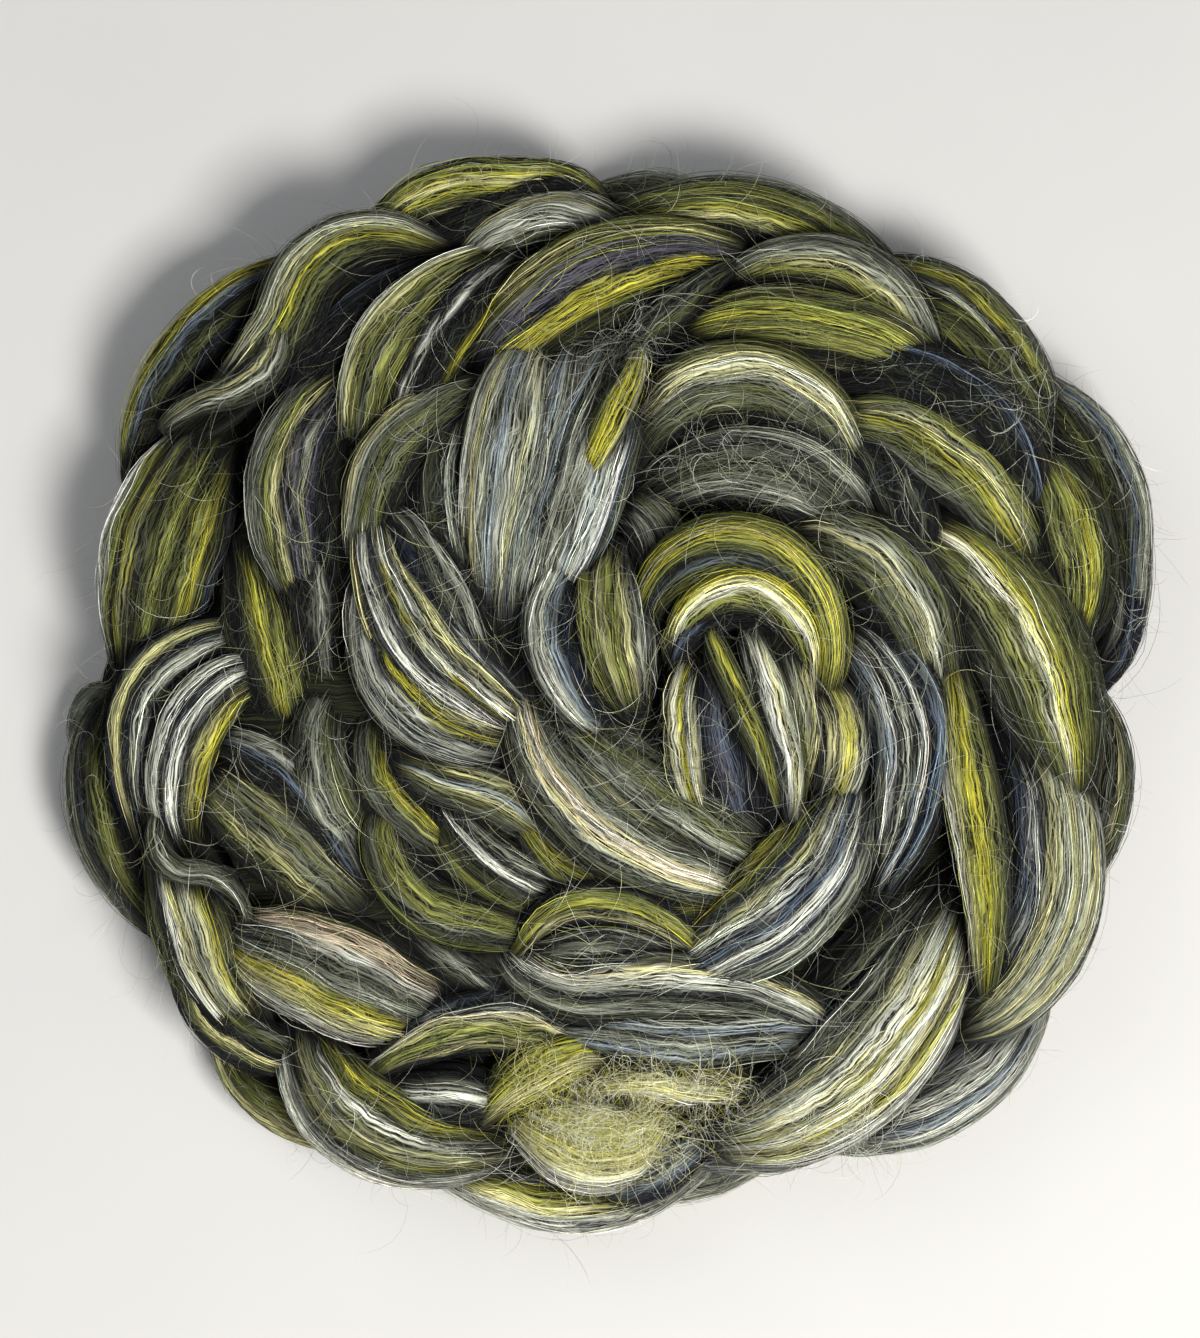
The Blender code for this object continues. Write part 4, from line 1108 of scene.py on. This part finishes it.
def add_sets(sets, more):
    """Puts more strands to the sets of those with as many points."""
    for points, strands in more.items():
        if points in sets:
            strands = Strands(*[np.concatenate(pair) for pair in zip(sets[points], strands)])
        sets[points] = strands


def lay_wool(skins, lie, material):
    """All the wisps and looser fibres of the folds."""
    sets = {}
    for skin in skins:
        add_sets(sets, lay_strands(skin, lie, WISPS))
        add_sets(sets, lay_strands(skin, lie, LOOSE))
    lay_pieces("wisps", sets, material, STRAND_TRIANGLES)


def hairs(starts, heading, hair, lie):
    """Loose hairs that wander over the braid from their starts, a little above what lies there."""
    count = len(starts)
    points = hair.points
    step = dice.uniform(*hair.long, count) / (points - 1)
    bend = np.cumsum(dice.normal(0, hair.curl * CURL_CHANGE, (count, points)), axis=1)
    bend += dice.normal(0, hair.curl, count)[:, None] * np.arange(points)
    course = heading[:, None] + bend
    moves = np.stack((np.cos(course), np.sin(course)), axis=2) * step[:, None, None]
    flat = starts[:, None, :2] + np.cumsum(moves, axis=1) - moves[:, :1]
    places = np.concatenate((flat, np.zeros((count, points, 1))), axis=2)
    ground = lie.height(places)
    ground = np.where(ground < 1, starts[:, 2:3] * hair.hold, ground)
    soft = ground.copy()
    for _ in range(HAIR_EASINGS):
        mean = (soft[:, :-2] + soft[:, 1:-1] + soft[:, 2:]) / 3
        soft[:, 1:-1] = np.maximum(ground[:, 1:-1], mean)
    rise = np.sin(np.linspace(0, math.pi, points)) * dice.uniform(*hair.lift, count)[:, None]
    places[..., 2] = soft + HAIR_GAP + rise
    up = np.zeros_like(places)
    up[..., 2] = 1.0
    taper = np.sin(np.linspace(HAIR_TIP, math.pi - HAIR_TIP, points)) ** 0.5
    half = dice.uniform(*hair.wide, count)[:, None] * taper
    wools = stripes_of(hair)[dice.integers(len(hair.wools), size=count)]
    wools = wools * np.exp(dice.normal(0, HAIR_TONE, count))[:, None]
    colours = np.repeat(np.column_stack((wools, np.ones(count)))[:, None], points, axis=1)
    return {points: Strands(places, up, half, colours)}


def starts_on(skins, count):
    """Places all over the folds where loose hairs start, and which way the wool runs there."""
    shares = np.array([skin.length * skin.girth for skin in skins])
    picks = dice.choice(len(skins), size=count, p=shares / shares.sum())
    along = dice.uniform(*STRAY_STARTS, count)
    turn = dice.uniform(0, math.pi, count)
    starts = np.zeros((count, 3))
    heading = np.zeros(count)
    for pick in np.unique(picks):
        mine = picks == pick
        here = skins[pick].at(skins[pick].net, along[mine], turn[mine])
        ahead = skins[pick].at(skins[pick].net, along[mine] + HEADING_STEP, turn[mine])
        starts[mine] = here
        heading[mine] = np.arctan2(ahead[:, 1] - here[:, 1], ahead[:, 0] - here[:, 0])
    return starts, heading


def stray_hairs(skins, lie, material):
    """Hairs that have come loose all over the braid, thicker in a few fuzzy places."""
    sets = {}
    for x, y, wide_x, wide_y, count, curl, wools in FUZZ:
        spread = dice.normal(0, FUZZ_SPREAD, (count, 2)) * (wide_x, wide_y)
        starts = np.zeros((count, 3))
        starts[:, :2] = np.array((x, y)) - MIDDLE[:2] + spread
        starts[:, 2] = lie.height(starts)
        heading = dice.uniform(0, CIRCLE, count)
        fuzz = FUZZ_HAIR._replace(curl=curl, wools=wools)
        add_sets(sets, hairs(starts, heading, fuzz, lie))
    starts, heading = starts_on(skins, STRAYS)
    starts[:, 2] = lie.height(starts)
    heading += dice.normal(0, STRAY_ANGLE, STRAYS)
    add_sets(sets, hairs(starts, heading, STRAY_HAIR, lie))
    bearing = dice.uniform(-math.pi, math.pi, HALO)
    away = lie.edge[bearing_step(bearing)] - dice.uniform(*HALO_DEPTH, HALO)
    starts = np.stack((away * np.cos(bearing), away * np.sin(bearing), 0 * away), axis=1)
    starts[:, 2] = np.maximum(lie.height(starts), HALO_LOW)
    side = np.where(dice.random(HALO) < 0.5, 1, -1) * dice.uniform(*HALO_TURN, HALO)
    add_sets(sets, hairs(starts, bearing + side, HALO_HAIR, lie))
    lay_pieces("stray_hairs", sets, material, HAIR_TRIANGLES)


# ---------------------------------------------------------------- the braid

def lay_braid():
    under = wool_material("laid_wool", fibres=190.0, locks=75.0, bump=0.70, depth=0.98)
    fibre = wool_material("loose_fibre", fibres=300.0, locks=60.0, bump=0.02, depth=0.25)
    full = straight_bundle("full_bundle", BUNDLE_SIDES, BUNDLE_RINGS)
    plain = straight_bundle("plain_bundle", PLAIN_SIDES, PLAIN_RINGS)
    shown = [bent_fold(fold, full, BUNDLE_SIDES, BUNDLE_RINGS) for fold in FOLDS]
    low = [bent_fold(fold, plain, PLAIN_SIDES, PLAIN_RINGS) for fold in low_turn_folds()]
    for bundle in (full, plain):
        bpy.data.objects.remove(bundle, do_unlink=True)
    skins = shown + low
    lie = Lie(skins)
    for skin in skins:
        dress_fold(skin, lie)
    lay_wool(skins, lie, fibre)
    stray_hairs(skins, lie, fibre)
    for turn in ("rim", "band", "coil", "tuft", "low"):
        mine = [skin for skin in skins if skin.fold.name.startswith(turn)]
        join_folds(turn + "_folds", mine, under)
    lay_heart(under)


set_camera()
set_light()
lay_floor()
lay_braid()
